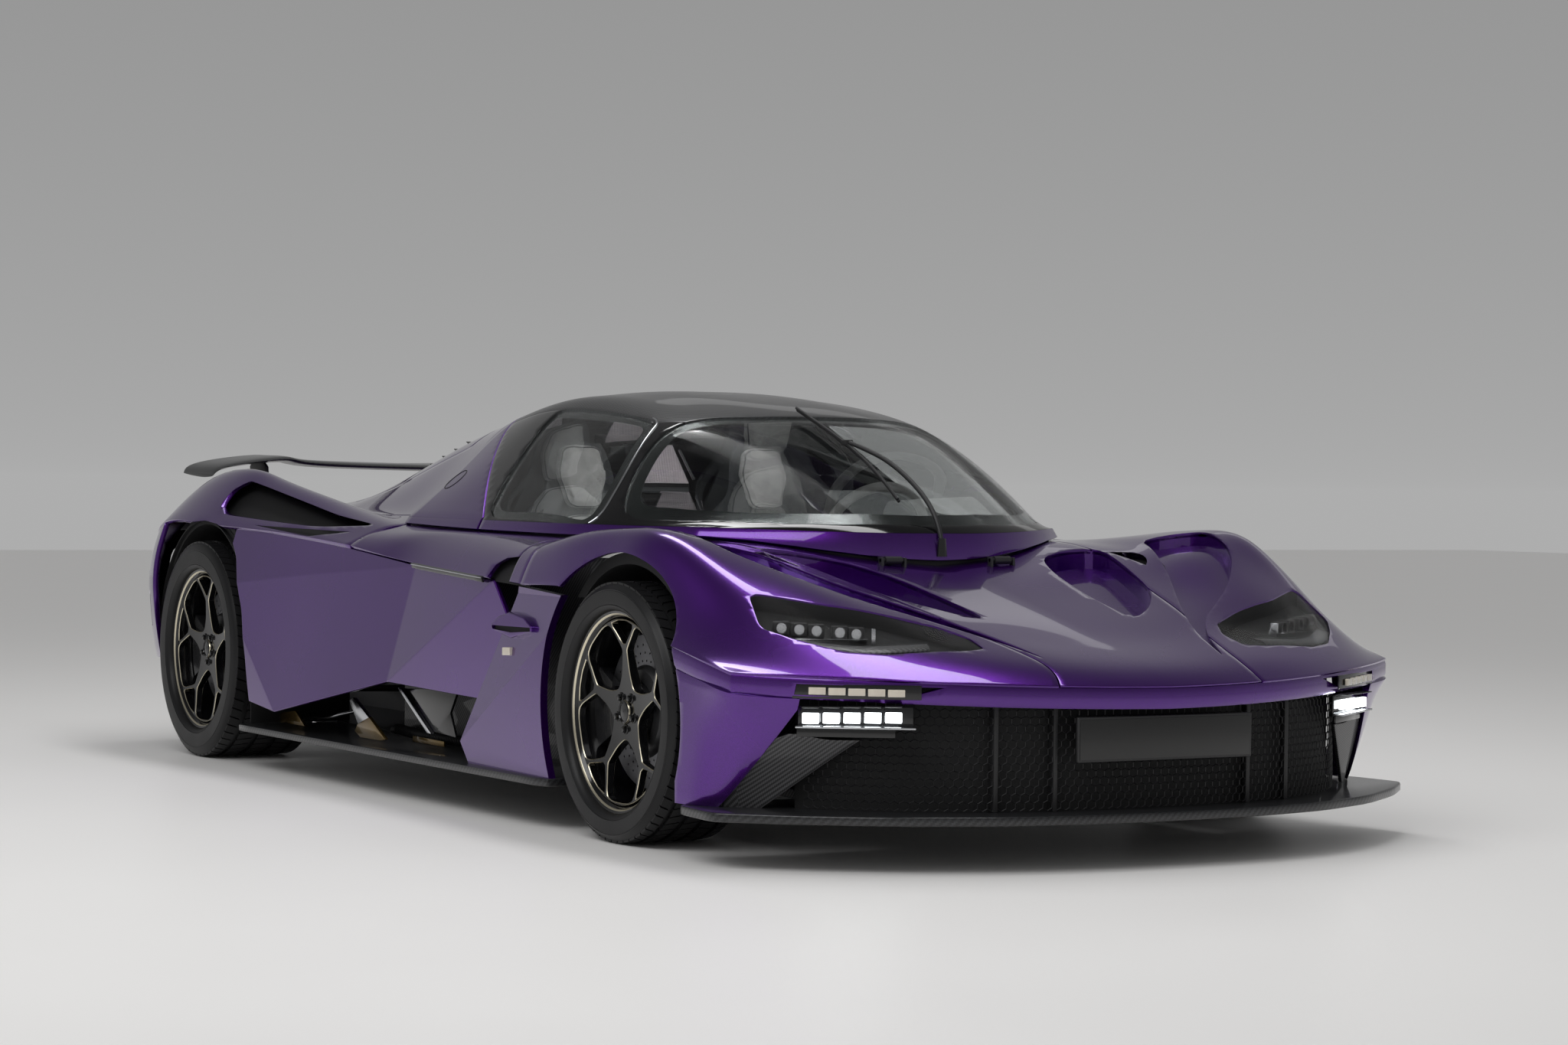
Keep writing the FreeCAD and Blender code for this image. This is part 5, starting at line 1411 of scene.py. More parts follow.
def facetPanel(name, corners, facets, thickness):
    # a panel of triangles through the given corners, in mm, that faces the car's left
    pieces = []
    for facet in facets:
        clearSelection()
        bpy.ops.mesh.primitive_circle_add(vertices=3, radius=1, fill_type="NGON")
        triangle = bpy.context.object
        for vertex, corner in zip(triangle.data.vertices, facet):
            vertex.co = inMetres(corners[corner])
        pieces.append(triangle)
    sheet = joinAll(pieces, name)
    editAll(sheet)
    closeUp(0.0005)
    lean = sum((p.normal * p.area for p in sheet.data.polygons), Vector())
    if lean.y < 0:
        flipped(sheet)
    return applyModifier(sheet, "SOLIDIFY", thickness=thickness / 1000, offset=-1)


def foldedDress(panel, width, others, name, node):
    # soft folds, then shading that keeps the facets flat
    applyModifier(panel, "BEVEL", width=width, segments=3, limit_method="ANGLE",
        angle_limit=math.radians(6), use_clamp_overlap=True)
    whole = joinAll([painted(panel, bodyPaint)] + others, name)
    dressed = dress(withTwin(whole), None, replaced=[node], angle=24)
    applyModifier(dressed, "WEIGHTED_NORMAL", keep_sharp=True, weight=80)


def makeFlanks():
    flank = facetPanel("flank", flankCorners, flankFacets, 14)
    cutAway(flank, [rearArchCutter()])
    foldedDress(flank, 0.006, [], "flank", "flanks")
    # a black bar under the shoulder's edge as a painted shadow gap, with a thin bright line along it as a
    # painted highlight
    edge = np.array([p for p in shoulderNet[:, -1] if -60 < p[0] < 526])
    net = np.array([edge + shift for shift in ((0, 3, 1), (0, 9, -3), (0, 8, -14), (0, 2, -17))])
    bar = worked(netPanel("waistShadowBar", net, 7, (0, 1, 0)), 0.001, glossBlack)
    line = tubeAlong("waistHighlightLine", [inMetres(p + (0, 9, -4)) for p in edge], 0.0018, 2)
    dress(withTwin(joinAll([bar, painted(line, brightTrim)], "waistShadowBar")), None)


def makeBlades():
    blade = facetPanel("sideBlade", bladeCorners, bladeFacets, 20)
    cutAway(blade, [frontArchCutter()])
    pod = softenEdges(sideSolid("pod", podLine, 944, 986), 0.005, 3)
    cutAway(pod, [sideSolid("podSlot", ((604, 503), (604, 513), (830, 515), (830, 505), (716, 498)), 976,
        1000)])
    # a near-black piece in the pod's slot as painted shade
    slot = sideSolid("podSlotShadow", ((606, 500), (606, 514), (828, 516), (828, 503), (716, 494)), 970, 977)
    marker = softenEdges(sideSolid("marker", ((640, 434), (640, 456), (686, 458), (686, 436)), 950, 974),
        0.003, 2)
    others = [painted(pod, bodyPaint), painted(slot, deepBlack), painted(marker, amberLens)]
    foldedDress(blade, 0.008, others, "sideBlades", "side_blades")


def makeSkirts():
    skirt = worked(planSolid("skirt", rounded(skirtLine, 1, 0.04), 112, 132), 0.003, carbonGloss)
    dress(withTwin(skirt), None, replaced=["skirts"])


def makeSideStruts():
    # strut edges painted bright as highlights, feet and plates painted bronze as reflections
    pieces = [worked(sideSolid(name, outline, low, high), 0.0015, finish)
        for name, outline, low, high, finish in strutPanels]
    hose = tubeAlong("hose", [inMetres(p) for p in hoseLine], 0.0125, 5)
    pieces.append(painted(hose, sealRubber))
    path = densely(hoseLine, 11, False)
    for a, b in zip(path[4:-4], path[5:-3]):
        way = Vector(b - a).normalized()
        clearSelection()
        bpy.ops.mesh.primitive_torus_add(location=inMetres(a), major_radius=0.0135, minor_radius=0.0022,
            major_segments=20, minor_segments=6, rotation=way.to_track_quat("Z", "Y").to_euler())
        pieces.append(painted(bpy.context.object, steelBlack))
    pieces.append(painted(tubeAlong("link", [inMetres(p) for p in linkLine], 0.006, 4), brightTrim))
    dress(withTwin(joinAll(pieces, "sideStruts")), None)


makeFlanks()
makeBlades()
makeSkirts()
makeSideStruts()
print("flanks, blades and skirts made")


# tail: deck, lid, corners, mask, exhaust, lamps, diffuser and wing
tailStyle = {"lidGap": 5, "lidFront": -820, "maskX": (-2290, -2270), "pipeY": 120, "pipeZ": 410,
    "pipeRadius": 52, "louvres": 6, "meshPitch": 20}
deckHeights = ((800, 1100, 1400, 1600, 1850), (1098, 1050, 985, 930, 866))
lidStations = ((-800, 385), (-1100, 360), (-1400, 340), (-1600, 330), (-1850, 320))
tailCornerRows = (((-1925, 962, 748), (-1925, 1004, 560), (-1925, 972, 300)),
    ((-2080, 926, 718), (-2080, 962, 550), (-2080, 935, 300)),
    ((-2270, 846, 664), (-2270, 872, 540), (-2270, 850, 330)))
tailLampLine = ((430, 700), (640, 697), (800, 690), (838, 640), (838, 596), (820, 596), (820, 634),
    (790, 672), (640, 681), (430, 684))
wingStations = ((0, -1950, 300, 935, 26), (420, -1955, 300, 945, 26), (520, -1965, 310, 958, 24),
    (700, -1990, 323, 934, 20), (760, -2020, 285, 900, 14))
wingSection = ((0, 0), (0.12, 0.35), (0.4, 0.5), (0.75, 0.55), (1, 0.62), (1, 0.46), (0.7, -0.1),
    (0.35, -0.5), (0.1, -0.35))
pylonLine = ((-1990, 770), (-2150, 770), (-2165, 860), (-2200, 950), (-2050, 950), (-2035, 860))
diffuserFins = (-600, -400, -200, 0, 200, 400, 600)


def insideOutline(outline, y, z):
    # whether a point of the front view lies inside a closed outline
    inside = False
    for (ya, za), (yb, zb) in zip(outline, outline[1:] + outline[:1]):
        if (za > z) != (zb > z) and y < ya + (yb - ya) * (z - za) / (zb - za):
            inside = not inside
    return inside


def makeDeck():
    whole = netPanel("deckSkin", narrowed(bothSides(tailNet[:, :4 * steps + 1]), seams["gap"], "flh"), 12)
    lidHalf = [(lidStations[0][0], 0)] + list(lidStations) + [(lidStations[-1][0], 0)]
    lidOutline = fullOutline(lidHalf)
    space = planSolid("lidSpace", insetOutline(lidOutline, tailStyle["lidGap"]), 600, 1300)
    front = tailStyle["lidFront"] / 1000
    cutAway(space, [addBox("front", (front, -0.6, 0.5), (front + 0.2, 0.6, 1.4))])
    lid = keepInside(copyOf(whole, "engineLid"), space)
    x, z = (v / 1000 for v in hinges["lid"]["place"])
    rooms = [addRod("room", (x, y - 0.031, z), (x, y + 0.031, z), 0.0165, 32) for y in (-0.14, 0.14)]
    cutAway(whole, [planSolid("lidHole", lidOutline, 600, 1300)] + rooms)
    slats = []
    for k in range(tailStyle["louvres"]):
        x = -1130 - 105 * k
        for side in (-1, 1):
            ys = (70 * side, (238 - 6 * k) * side)
            slot = ((x, ys[0]), (x, ys[1]), (x - 46, ys[1] - 14 * side), (x - 46, ys[0]))
            cutAway(lid, [planSolid("louvre", slot, 700, 1100)])
            top = np.interp(-x, *deckHeights) - 34
            slat = [[(x - 4 - 12 * f, y, top + 4 * f) for y in (min(ys), max(ys))] for f in (0, 1, 2)]
            slats.append(painted(netPanel("slat", np.array(slat, float), 2), satinBlack))
    # a near-black sheet under the louvres as painted shade
    under = netPanel("lidShadowSheet", offsetNet(bothSides(tailNet[3 * steps // 2:5 * steps - 4,
        :3 * steps // 2 + 4]), 40), 2)
    pieces = [worked(lid, seams["edge"], bodyPaint), painted(under, deepBlack)] + slats
    dress(joinAll(pieces + hingeParts("lid", "moving"), "engineLid"), None, "lid", ["engine_lid"])
    deck = worked(whole, seams["edge"], bodyPaint)
    dressWhole([deck] + hingeParts("lid", "fixed"), "deckSkin", "rear_deck")


def makeTailCorners():
    fine = gridNet(tailCornerRows, 8, 8)
    corner = netPanel("tailCorner", fine, 16, (0, 1, 0))
    cutAway(corner, [rearArchCutter()])
    cutAway(corner, [sideSolid("vent", ((-2000, 520), (-2010, 400), (-2120, 400), (-2130, 500)), 800,
        1100)])
    mesh = netPanel("cornerVent", fine - (0, 13, 0), 3, (0, 1, 0))
    keepInside(mesh, sideSolid("keep", ((-1995, 526), (-2005, 394), (-2126, 394), (-2136, 506)), 800, 1100))
    pieces = [worked(corner, seams["edge"], bodyPaint), painted(mesh, meshBlack)]
    dressPair(pieces, "tailCorners", "tail_corners")


def makeTailMask():
    # a black frame round a honeycomb, with the exhausts through it and a near-black sheet behind the honeycomb
    # as painted shade
    low, high = tailStyle["maskX"]
    half = [(y, z) for x, y, z in tailNet[-1, ::4]] + [(872, 540), (850, 330)]
    outline = half + [(-y, z) for y, z in reversed(half[1:])]
    frameRing = frontSolid("maskFrame", outline, low, high)
    inner = [(y * 0.955, 340 + (z - 330) * 0.9) for y, z in outline]
    window = rounded(inner, 1, 0.1)
    cutAway(frameRing, [frontSolid("window", window, low - 20, high + 20)])
    softenEdges(frameRing, 0.0025)
    pitch = tailStyle["meshPitch"]
    sheet = hexSheet("maskMesh", pitch, int(1760 / pitch), int(500 / (pitch * 0.866)))
    flat = np.array([v.co[:] for v in sheet.data.vertices]) * 1000
    middle = (flat.min(0) + flat.max(0)) / 2
    places = np.stack([np.full(len(flat), -2280.0), flat[:, 0] - middle[0], flat[:, 1] - middle[1] + 565],
        1) / 1000
    sheet.data.vertices.foreach_set("co", places.ravel())
    sheet.data.update()
    for polygon in sheet.data.polygons:
        y, z = polygon.center.y * 1000, polygon.center.z * 1000
        nearPipe = min(math.hypot(y - s * tailStyle["pipeY"], z - tailStyle["pipeZ"]) for s in (-1, 1)) < 66
        polygon.select = nearPipe or not insideOutline(window, y, z)
    makeActive(sheet)
    bpy.ops.object.mode_set(mode="EDIT")
    bpy.ops.mesh.delete(type="FACE")
    leaveEdit()
    applyModifier(sheet, "WIREFRAME", thickness=0.003, use_replace=True, use_even_offset=False)
    rings = []
    for side in (-1, 1):
        clearSelection()
        bpy.ops.mesh.primitive_torus_add(location=(-2.281, side * tailStyle["pipeY"] / 1000,
            tailStyle["pipeZ"] / 1000), major_radius=0.066, minor_radius=0.006, major_segments=64,
            minor_segments=10, rotation=(0, math.pi / 2, 0))
        rings.append(painted(bpy.context.object, satinBlack))
    honeycombShadow = frontSolid("maskShadowSheet", [(y * 0.97, z) for y, z in window], -2270, -2266)
    pieces = [painted(frameRing, glossBlack), painted(sheet, meshBlack),
        painted(honeycombShadow, deepBlack)] + rings
    dressWhole(pieces, "tailMask", "tail_mask")


def makeExhausts():
    pipes = []
    r, y, z = tailStyle["pipeRadius"], tailStyle["pipeY"], tailStyle["pipeZ"]
    profile = ((r - 3, 0), (r, 2), (r, 296), (r - 1, 302), (r - 4, 303), (r - 6, 300), (r - 5, 12),
        (1, 12), (1, 8), (r - 6, 8))
    for side in (-1, 1):
        pipe = spunSolid("exhaustPipe", profile, (0, 0, 0), 64)
        place = Matrix.Translation((-1.992, side * y / 1000, z / 1000))
        pipe.data.transform(place @ Matrix.Rotation(math.pi / 2, 4, "Z"))
        pipes.append(pipe)
    dressWhole([painted(p, exhaustMetal) for p in pipes], "exhaustPipes", "exhaust")


def makeTailLamps():
    bar = worked(frontSolid("tailLamp", tailLampLine, -2298, -2290), 0.0025, tailRed)
    dress(withTwin(bar), None, replaced=["tail_lamps"])


def makeDiffuser():
    plate = sideSolid("diffuserPlate", ((-1990, 112), (-2290, 240), (-2290, 256), (-1990, 134)), -780, 780)
    fins = [sideSolid("fin", ((-1995, 113), (-2285, 146), (-2278, 236), (-1995, 120)), y - 4, y + 4)
        for y in diffuserFins]
    ends = [sideSolid("end", ((-1995, 113), (-2288, 150), (-2288, 262), (-1995, 136)), y - 4, y + 4)
        for y in (-776, 776)]
    pieces = [worked(p, 0.0018, carbonSatin) for p in [plate] + fins + ends]
    dressWhole(pieces, "diffuser", "diffuser")


def makeWing():
    shape = rounded(wingSection, 2, 0.2)
    shape.append(shape[0])
    half = np.array([[(lead - chord * a, y, z + thick * b) for a, b in shape]
        for y, lead, chord, z, thick in wingStations])
    fineHalf = np.einsum("ai,ijk->ajk", splineWeights(len(wingStations), 6), half)
    net = np.concatenate([fineHalf[:0:-1] * (1, -1, 1), fineHalf])
    wing = netSheet("wing", net)
    editAll(wing)
    bpy.ops.mesh.remove_doubles(threshold=0.0003)
    bpy.ops.mesh.select_all(action="DESELECT")
    bpy.ops.mesh.select_non_manifold()
    bpy.ops.mesh.fill_holes(sides=0)
    closeUp()
    pieces = [painted(wing, carbonGloss)]
    for side in (-1, 1):
        pylon = sideSolid("pylon", rounded(pylonLine, 1, 0.2), side * 560 - 6, side * 560 + 6)
        pieces.append(worked(pylon, 0.003, satinBlack))
    dressWhole(pieces, "wing", "wing")


# axle x and z in metres, then radius, inner and outer y in mm
archCovers = ((-1.575, 0.345, 398, -640, -948), (1.275, 0.325, 367, -610, -930))


def makeArchCovers():
    # the tops and inner walls of the liners, which close the arches under the fenders
    covers = []
    for x, z, radius, inner, outer in archCovers:
        profile = ((radius, inner), (radius, outer), (radius + 29, outer), (radius + 29, outer + 4),
            (radius + 3, outer + 4), (radius + 3, inner + 4), (290, inner + 4), (290, inner))
        cover = spunSolid("archCover", profile, (x, 0, z), 96)
        keepInside(cover, addBox("trim", (x - 0.32, -1.1, 0.6), (x + 0.32, -0.5, 0.9)))
        covers.append(painted(cover, deepBlack))
    dress(withTwin(joinAll(covers, "archCovers")), None)


makeDeck()
makeTailCorners()
makeTailMask()
makeExhausts()
makeTailLamps()
makeDiffuser()
makeWing()
makeArchCovers()
print("tail and wing made")


# cabin: bucket seats, ribbed bulkhead, dashboard and steering wheel
seatStyle = {"y": 310, "shell": 9, "voxel": 0.008, "headVoxel": 0.0055, "cap": 0.011, "pressure": 4.0,
    "frames": 20, "piping": 0.0019}
# along the middle of the seat shell from its front lip up to its top: x, z, half width, rise of the edge
seatRows = ((364, 318, 205, 12), (300, 300, 218, 34), (180, 262, 226, 52), (70, 240, 229, 62),
    (-20, 262, 231, 78), (-75, 340, 233, 86), (-108, 470, 234, 84), (-150, 620, 232, 76),
    (-186, 740, 224, 54), (-202, 800, 188, 30), (-216, 850, 128, 18), (-228, 910, 108, 15),
    (-239, 965, 96, 12), (-243, 1008, 76, 8))
seatFold = ((0, 0), (0.3, 0), (0.56, 0.02), (0.74, 0.16), (0.88, 0.55), (1.0, 1.0))
headPadLine = ((-64, 1003), (64, 1003), (88, 918), (60, 812), (-60, 812), (-88, 918))
backPadLine = ((-58, 806), (58, 806), (112, 752), (136, 640), (142, 480), (128, 350), (112, 318),
    (-112, 318), (-128, 350), (-142, 480), (-136, 640), (-112, 752))
seatPadLine = ((344, -150), (352, 0), (344, 150), (200, 152), (60, 132), (18, 110), (18, -110), (60, -132),
    (200, -152))
harnessLine = ((118, 822), (196, 764), (206, 700), (160, 752))
bulkheadLine = ((0, 1098), (285, 1076), (392, 1028), (520, 902), (640, 780), (655, 700), (655, 690),
    (0, 690))
ribLine = ((-98, 892), (98, 892), (58, 1008), (-58, 1008))
sideRibLine = ((128, 874), (212, 874), (196, 1006), (150, 1006))
tubLine = ((1150, 0), (1150, 430), (900, 590), (600, 690), (100, 722), (-560, 712), (-560, 0))
dashLine = ((1100, 540), (1068, 690), (900, 728), (660, 706), (606, 650), (640, 560), (700, 510))
tunnelLine = ((640, 166), (640, 640), (520, 470), (300, 400), (-240, 380), (-300, 340), (-300, 166))
hoodLine = ((612, 690), (646, 780), (690, 792), (820, 742), (860, 716), (700, 690))
steeringStyle = {"centre": (430, 310, 745), "axis": (-1, 0, 0.42), "radius": 157, "grip": 14.5,
    "flat": -128}


def seatNet():
    middle = np.array([(x, z) for x, z, wide, rise in seatRows], float)
    along = np.gradient(middle, axis=0)
    along /= np.linalg.norm(along, axis=1, keepdims=True)
    rows = []
    for (x, z, wide, rise), (tx, tz) in zip(seatRows, along):
        rows.append([(x + tz * rise * up, wide * out, z - tx * rise * up) for out, up in seatFold])
    return gridNet(rows, 5, 3)


def puffed(pad, voxel):
    # the pad is blown up a little as cloth and then capped, so it crowns between its edges
    applyModifier(pad, "REMESH", mode="VOXEL", voxel_size=voxel)
    before = np.array([v.co[:] for v in pad.data.vertices])
    makeActive(pad)
    cloth = pad.modifiers.new("Cloth", "CLOTH")
    cloth.settings.quality = 4
    cloth.settings.use_pressure = True
    cloth.settings.uniform_pressure_force = seatStyle["pressure"]
    cloth.settings.effector_weights.gravity = 0
    scene = bpy.context.scene
    for frameNumber in range(1, seatStyle["frames"] + 1):
        scene.frame_set(frameNumber)
    solved = pad.evaluated_get(bpy.context.evaluated_depsgraph_get()).data
    shift = np.array([v.co[:] for v in solved.vertices]) - before
    length = np.linalg.norm(shift, axis=1, keepdims=True)
    shift *= np.minimum(1.0, seatStyle["cap"] / np.maximum(length, 1e-9))
    pad.modifiers.remove(cloth)
    scene.frame_set(1)
    pad.data.vertices.foreach_set("co", (before + shift).ravel())
    pad.data.update()
    return applyModifier(pad, "SUBSURF", levels=1, render_levels=1)


def shiftedAlong(pad, key, places, values):
    # the pad leaned (key 2) or lifted (key 0) after the middle of the shell
    for vertex in pad.data.vertices:
        vertex.co[2 - key] += np.interp(vertex.co[key] * 1000, places, values) / 1000
    pad.data.update()


def sliced(obj, axis, levels):
    editAll(obj)
    for level in levels:
        bpy.ops.mesh.select_all(action="SELECT")
        bpy.ops.mesh.bisect(plane_co=[level / 1000 if i == axis else 0 for i in range(3)],
            plane_no=[1 if i == axis else 0 for i in range(3)])
    leaveEdit()
    return obj


def padPiping(pad, points, name):
    # a sewn edge that follows the skin of the pad
    places = []
    for point in densely(points, 0.012):
        hit, place, normal, index = pad.closest_point_on_mesh(Vector(point))
        places.append(place + normal * 0.0004)
    return painted(tubeAlong(name, places, seatStyle["piping"], 2, True), seatShell)


def makeSeatPads():
    backX = [(z, x) for x, z, wide, rise in seatRows[4:]]
    backPlaces, backValues = [z for z, x in backX], [x for z, x in backX]
    pan = sorted((x, z) for x, z, wide, rise in seatRows[:5])
    panPlaces, panValues = [x for x, z in pan], [z for x, z in pan]
    made = []
    for name, outline, depth, voxel in (("headPad", headPadLine, (9, 34), seatStyle["headVoxel"]),
            ("backPad", backPadLine, (9, 42), seatStyle["voxel"])):
        smooth = rounded(outline, 2, 0.16)
        pad = sliced(frontSolid(name, smooth, *depth), 2, range(330, 1000, 30))
        shiftedAlong(pad, 2, backPlaces, backValues)
        puffed(pad, voxel)
        edge = [((depth[1] + 2 + np.interp(z, backPlaces, backValues)) / 1000, y / 1000, z / 1000)
                for y, z in insetOutline(smooth, 7)]
        made.append((pad, padPiping(pad, edge, name + "Piping")))
    smooth = rounded(seatPadLine, 2, 0.16)
    pad = sliced(planSolid("seatPad", smooth, 8, 44), 0, range(40, 350, 30))
    shiftedAlong(pad, 0, panPlaces, panValues)
    puffed(pad, seatStyle["voxel"])
    edge = [(x / 1000, y / 1000, (46 + np.interp(x, panPlaces, panValues)) / 1000)
            for x, y in insetOutline(smooth, 8)]
    made.append((pad, padPiping(pad, edge, "seatPadPiping")))
    for pad, piping in made:
        piece = joinAll([painted(pad, suede), piping], pad.name)
        piece.data.transform(Matrix.Translation((0, seatStyle["y"] / 1000, 0)))
        twin = mirrorCopy(piece, piece.name + "Right")
        for obj in (piece, twin):
            dress(obj, None, angle=40)


def makeSeatShells():
    shell = netPanel("seatShells", bothSides(seatNet()), seatStyle["shell"], (0.6, 0, 1))
    holes = [frontSolid("harness", rounded(outline, 2, 0.18), -400, 0)
        for outline in (harnessLine, [(-y, z) for y, z in harnessLine])]
    cutAway(shell, holes)
    pieces = [worked(shell, 0.0025, seatShell)]
    for y in (-0.15, 0.15):
        pieces.append(softBox("rail", (-0.06, y - 0.018, 0.164), (0.33, y + 0.018, 0.186), 0.003,
            steelBlack))
        pieces.append(softBox("foot", (0.02, y - 0.012, 0.18), (0.06, y + 0.012, 0.262), 0.002, steelBlack))
        pieces.append(softBox("foot", (0.24, y - 0.012, 0.18), (0.28, y + 0.012, 0.28), 0.002, steelBlack))
    shell = joinAll(pieces, "seatShells")
    shell.data.transform(Matrix.Translation((0, seatStyle["y"] / 1000, 0)))
    dress(withTwin(shell), None, replaced=["seats"])


def ribbedBlock(name, outline, low, high, pitch, ribDepth):
    # a flat block whose front face carries upright ribs
    block = softenEdges(frontSolid(name, outline, low, high), 0.002)
    left, right = min(y for y, z in outline), max(y for y, z in outline)
    bottom, top = min(z for y, z in outline), max(z for y, z in outline)
    ribs = []
    for k in range(int((right - left) / pitch)):
        y = (left + pitch * (k + 0.5)) / 1000
        ribs.append(addRod("rib", ((high - 1) / 1000, y, bottom / 1000),
            ((high - 1) / 1000, y, top / 1000), ribDepth / 1000, 10))
    comb = joinAll(ribs, name + "Ribs")
    keepInside(comb, frontSolid("keep", insetOutline(outline, 4), low, high + 20))
    return joinAll([painted(block, ribbedTrim), painted(comb, ribbedTrim)], name)


def makeBulkhead():
    wholeLine = bulkheadLine + tuple((-y, z) for y, z in bulkheadLine[-2:0:-1])
    wall = worked(frontSolid("wall", wholeLine, -548, -524), 0.002, cabinTrim)
    tower = sideSolid("tower", ((-530, 690), (-292, 690), (-292, 880), (-330, 1012), (-530, 1040)), -104,
        104)
    pieces = [wall, worked(tower, 0.006, cabinTrim)]
    centre = ribbedBlock("centreRibs", ribLine, -12, 4, 8.4, 2.8)
    for vertex in centre.data.vertices:
        vertex.co.x += (-290 - max(0.0, vertex.co.z * 1000 - 880) * 0.288) / 1000
    pieces.append(centre)
    pieces.append(softBox("lowerBar", (-0.296, -0.092, 0.862), (-0.278, 0.092, 0.88), 0.003, seatShell))
    for k in range(7):
        z = 0.706 + 0.021 * k
        pieces.append(softBox("lowerRib", (-0.296, -0.096, z), (-0.286, 0.096, z + 0.012), 0.002,
            cabinTrim))
    sides = ribbedBlock("sideRibs", sideRibLine, -528, -500, 9, 3.2)
    pieces.append(withTwin(sides))
    for side in (-1, 1):
        pieces.append(painted(addRod("brace", (-0.3, 0.07 * side, 0.995), (-0.284, 0.112 * side, 0.905),
            0.006), brightTrim))
    dress(joinAll(pieces, "bulkhead"), None)


def makeDashboard():
    dash = sideSolid("dashCover", rounded(dashLine, 2, 0.2), -636, 636)
    keepInside(dash, planSolid("tub", insetOutline(fullOutline(tubLine), 58), 100, 900))
    pieces = [worked(dash, 0.008, cabinTrim, 3)]
    hood = sideSolid("hood", rounded(hoodLine, 2, 0.2), 190, 430)
    pieces += [worked(hood, 0.01, suede, 3),
        softBox("dial", (0.618, 0.212, 0.704), (0.634, 0.408, 0.772), 0.003, glossBlack),
        softBox("screen", (0.596, -0.13, 0.655), (0.612, 0.13, 0.735), 0.004, glossBlack)]
    for y in (-0.5, -0.21, 0.52):
        frameBox = softenEdges(addBox("ventFrame", (0.612, y - 0.055, 0.652), (0.634, y + 0.055, 0.694)),
            0.004)
        cutAway(frameBox, [addBox("ventHole", (0.6, y - 0.048, 0.658), (0.627, y + 0.048, 0.688))])
        pieces.append(painted(frameBox, satinBlack))
        for k in range(4):
            z = 0.6605 + 0.0065 * k
            pieces.append(painted(addBox("ventBlade", (0.614, y - 0.049, z),
                (0.629, y + 0.049, z + 0.0018)), satinBlack))
    tunnel = sideSolid("tunnel", tunnelLine, -66, 66)
    pieces += [softBox("dashBar", (0.6, -0.45, 0.636), (0.616, 0.45, 0.646), 0.002, bronzeTrim),
        worked(tunnel, 0.01, carbonSatin, 3),
        softBox("armPad", (-0.24, -0.058, 0.372), (0.08, 0.058, 0.398), 0.01, suede, 3)]
    for x in (0.14, 0.175, 0.21, 0.245):
        pieces.append(softBox("key", (x, -0.03, 0.38), (x + 0.025, 0.03, 0.412), 0.003, satinBlack))
    axis = Vector(steeringStyle["axis"]).normalized()
    centre = inMetres(steeringStyle["centre"])
    column = addRod("column", centre - axis * 0.0225, centre - axis * 0.29, 0.0295, 40)
    pieces.append(worked(column, 0.002, satinBlack))
    dressWhole(pieces, "dashCover", "dashboard")


def makeSteeringWheel():
    radius, flat = steeringStyle["radius"], steeringStyle["flat"]
    path = []
    for k in range(64):
        a = 2 * math.pi * k / 64
        squared = (abs(math.cos(a)) ** 3 + abs(math.sin(a)) ** 3) ** (-1 / 3)
        path.append((radius * min(squared, 1.06) * math.cos(a) / 1000,
            max(radius * min(squared, 1.0) * math.sin(a), flat) / 1000, 0))
    pieces = [painted(tubeAlong("ring", path, steeringStyle["grip"] / 1000, 6, True), suede)]
    pieces.append(worked(addRod("boss", (0, 0, -0.022), (0, 0, 0.02), 0.042, 48, 0.034), 0.003, satinBlack))
    for turn in (0, math.pi, -math.pi / 2):
        c, s = math.cos(turn), math.sin(turn)
        reach = 0.152 if turn != -math.pi / 2 else 0.124
        outline = ((0.03, -0.024), (reach, -0.015), (reach, 0.013), (0.03, 0.022))
        spoke = outlineSolid("spoke", [(u * c - v * s, u * s + v * c, -0.006) for u, v in outline],
            (0, 0, 0.013))
        slot = ((0.07, -0.009), (reach - 0.03, -0.006), (reach - 0.03, 0.005), (0.07, 0.008))
        gap = outlineSolid("gap", [(u * c - v * s, u * s + v * c, -0.02) for u, v in slot], (0, 0, 0.04))
        cutAway(spoke, [gap])
        pieces.append(worked(spoke, 0.002, carbonGloss))
    for side in (-1, 1):
        pieces.append(softBox("paddle", (0.062 if side > 0 else -0.104, -0.012, -0.02),
            (0.104 if side > 0 else -0.062, 0.05, -0.014), 0.002, carbonGloss))
        for k in range(2):
            clearSelection()
            bpy.ops.mesh.primitive_cylinder_add(vertices=24, radius=0.006, depth=0.008,
                location=(side * (0.05 + 0.018 * k), 0.0, 0.009))
            pieces.append(worked(bpy.context.object, 0.001, brightTrim if k else satinBlack))
    wheel = joinAll(pieces, "steeringWheel")
    axis = Vector(steeringStyle["axis"]).normalized()
    right = Vector((0, -1, 0))
    turn = Matrix((right, axis.cross(right), axis)).transposed().to_4x4()
    wheel.data.transform(Matrix.Translation(inMetres(steeringStyle["centre"])) @ turn)
    dress(wheel, None, "steering_wheel", ["steering_wheel"])


makeSeatPads()
makeSeatShells()
makeBulkhead()
makeDashboard()
makeSteeringWheel()
print("cabin made")


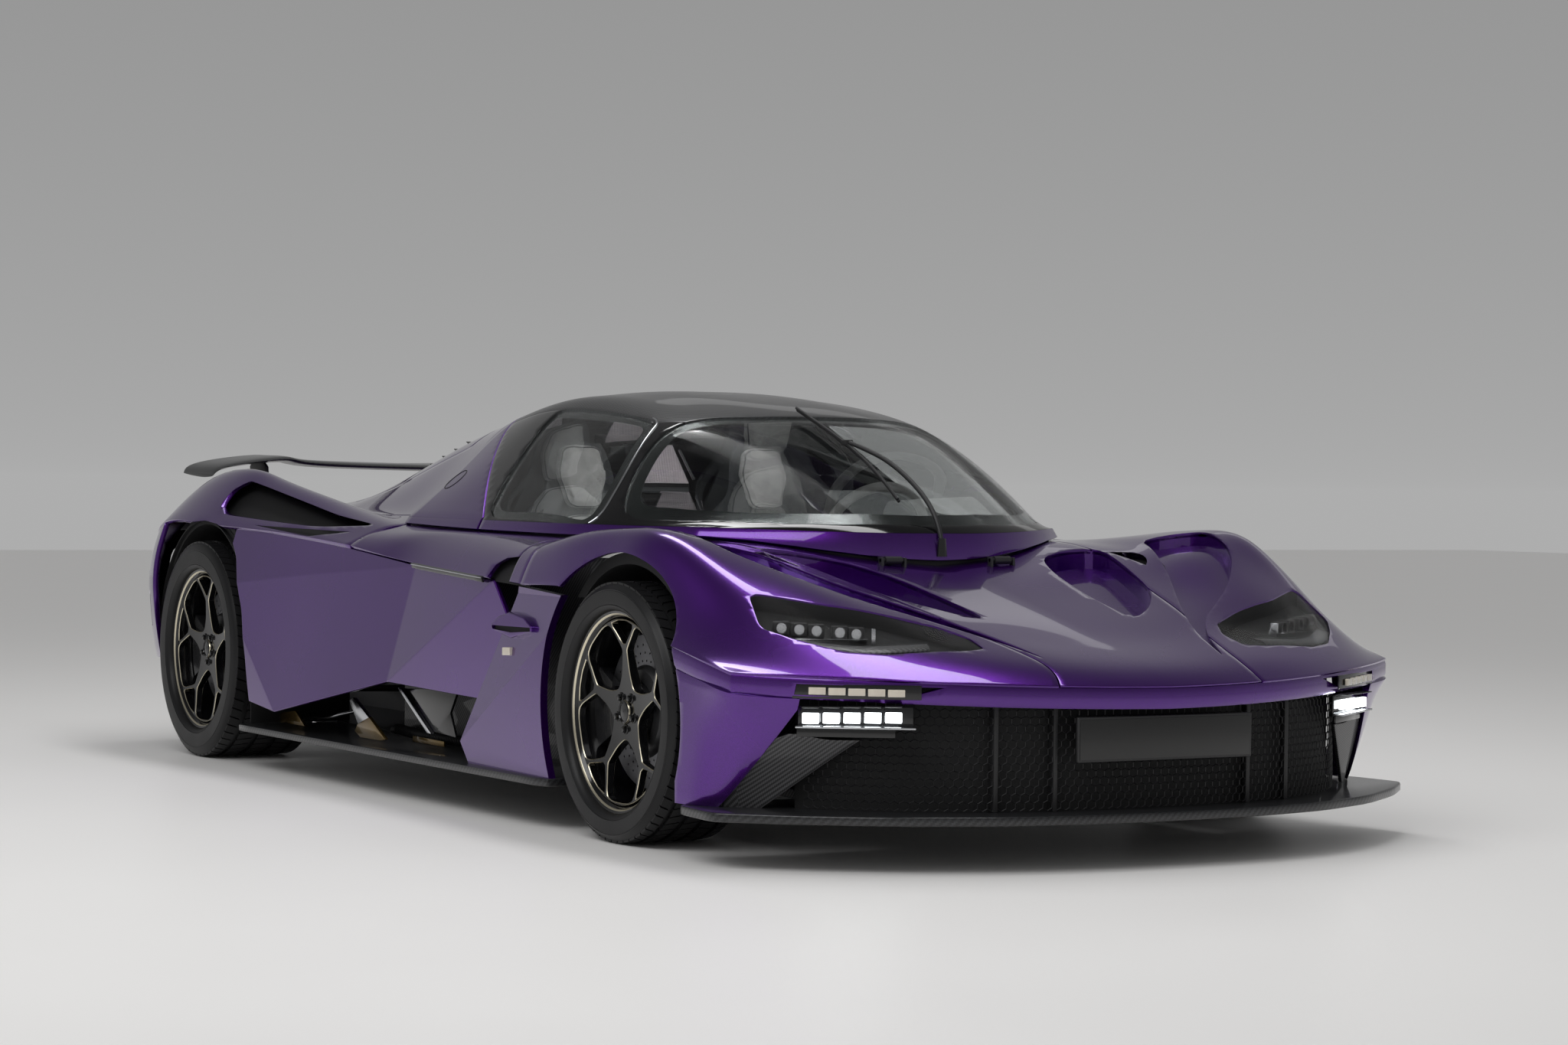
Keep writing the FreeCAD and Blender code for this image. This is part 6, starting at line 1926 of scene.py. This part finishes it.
# every CAD node that still shows takes a worked material
nodeFinishes = ((bodyPaint, "bonnet", "front_fenders", "nose_mask", "shoulders", "rear_fenders",
    "side_blades", "flanks", "roof_quarters", "rear_deck", "engine_lid", "tail_corners", "hood_ducts"),
    (glossBlack, "canopy_frame", "headlamps"), (lampGlow, "day_lamps"), (meshBlack, "grille", "tail_mask"),
    (plateBlack, "plate"), (carbonGloss, "splitter", "skirts", "wing"),
    (carbonSatin, "floor", "tub", "diffuser"), (exhaustMetal, "exhaust"), (tailRed, "tail_lamps"),
    (castAlloy, "engine_block", "subframes"), (deepBlack, "arch_liners"), (caliperBlack, "upright"),
    (steelBlack, "suspension_arms"), (suede, "seats"), (cabinTrim, "dashboard", "steering_wheel"),
    (windowGlass, "windscreen", "side_glass"), (satinBlack, "wiper"), (tyreRubber, "tyre"),
    (wheelBlack, "rim"), (discIron, "disc"))
for name, obj in cadNodes.items():
    for finish, *starts in nodeFinishes:
        if name.startswith(tuple(starts)):
            painted(obj, finish)

# studio: a pale floor, a soft sky and four lamps
makeCamera(cameraSetup)
clearSelection()
bpy.ops.mesh.primitive_grid_add(x_subdivisions=8, y_subdivisions=8, size=60)
studioFloor = bpy.context.object
studioFloor.name = "studioFloor"
studioFloor.data.materials.append(baseMaterial("paleFloor", studio["floor"], 0.42, tint=studio["floor"],
    clouds=0.8, rough=0.05))
world = bpy.data.worlds.new("studioWorld")
world.use_nodes = True
bpy.context.scene.world = world
sky = world.node_tree
background = sky.nodes["Background"]
upward = sky.nodes.new("ShaderNodeSeparateXYZ")
sky.links.new(sky.nodes.new("ShaderNodeTexCoord").outputs["Generated"], upward.inputs[0])
rise = calc(sky, "POWER", calc(sky, "MAXIMUM", upward.outputs[2], 0.0), 0.6)
seen = spread(sky, rise, studio["horizon"], studio["zenith"])
path = sky.nodes.new("ShaderNodeLightPath")
rays = [path.outputs["Is %s Ray" % kind] for kind in ("Camera", "Glossy", "Transmission")]
straight = calc(sky, "MAXIMUM", calc(sky, "MAXIMUM", rays[0], rays[1]), rays[2])
sky.links.new(blendColors(sky, straight, (studio["fill"],) * 3, seen), background.inputs["Color"])
addSoftbox("keyBox", (3.0, -4.0, 4.8), (0.5, 0, 0.5), 5.6, 2.6, 150)
addSoftbox("topBox", (-0.3, 0.6, 5.4), (-0.3, 0, 0.5), 6.0, 1.0, 110)
addSoftbox("rearBox", (-5.0, 5.5, 3.8), (-0.6, 0, 0.6), 6.0, 0.7, 4)
cabinBox = addSoftbox("cabinBox", (0.28, 0, 1.05), (-0.4, 0, 0.84), 0.5, 0.1, 2.2)
cabinBox.visible_camera = cabinBox.visible_glossy = cabinBox.visible_transmission = False
bpy.context.scene.view_settings.view_transform = "Standard"

print("scene finished")
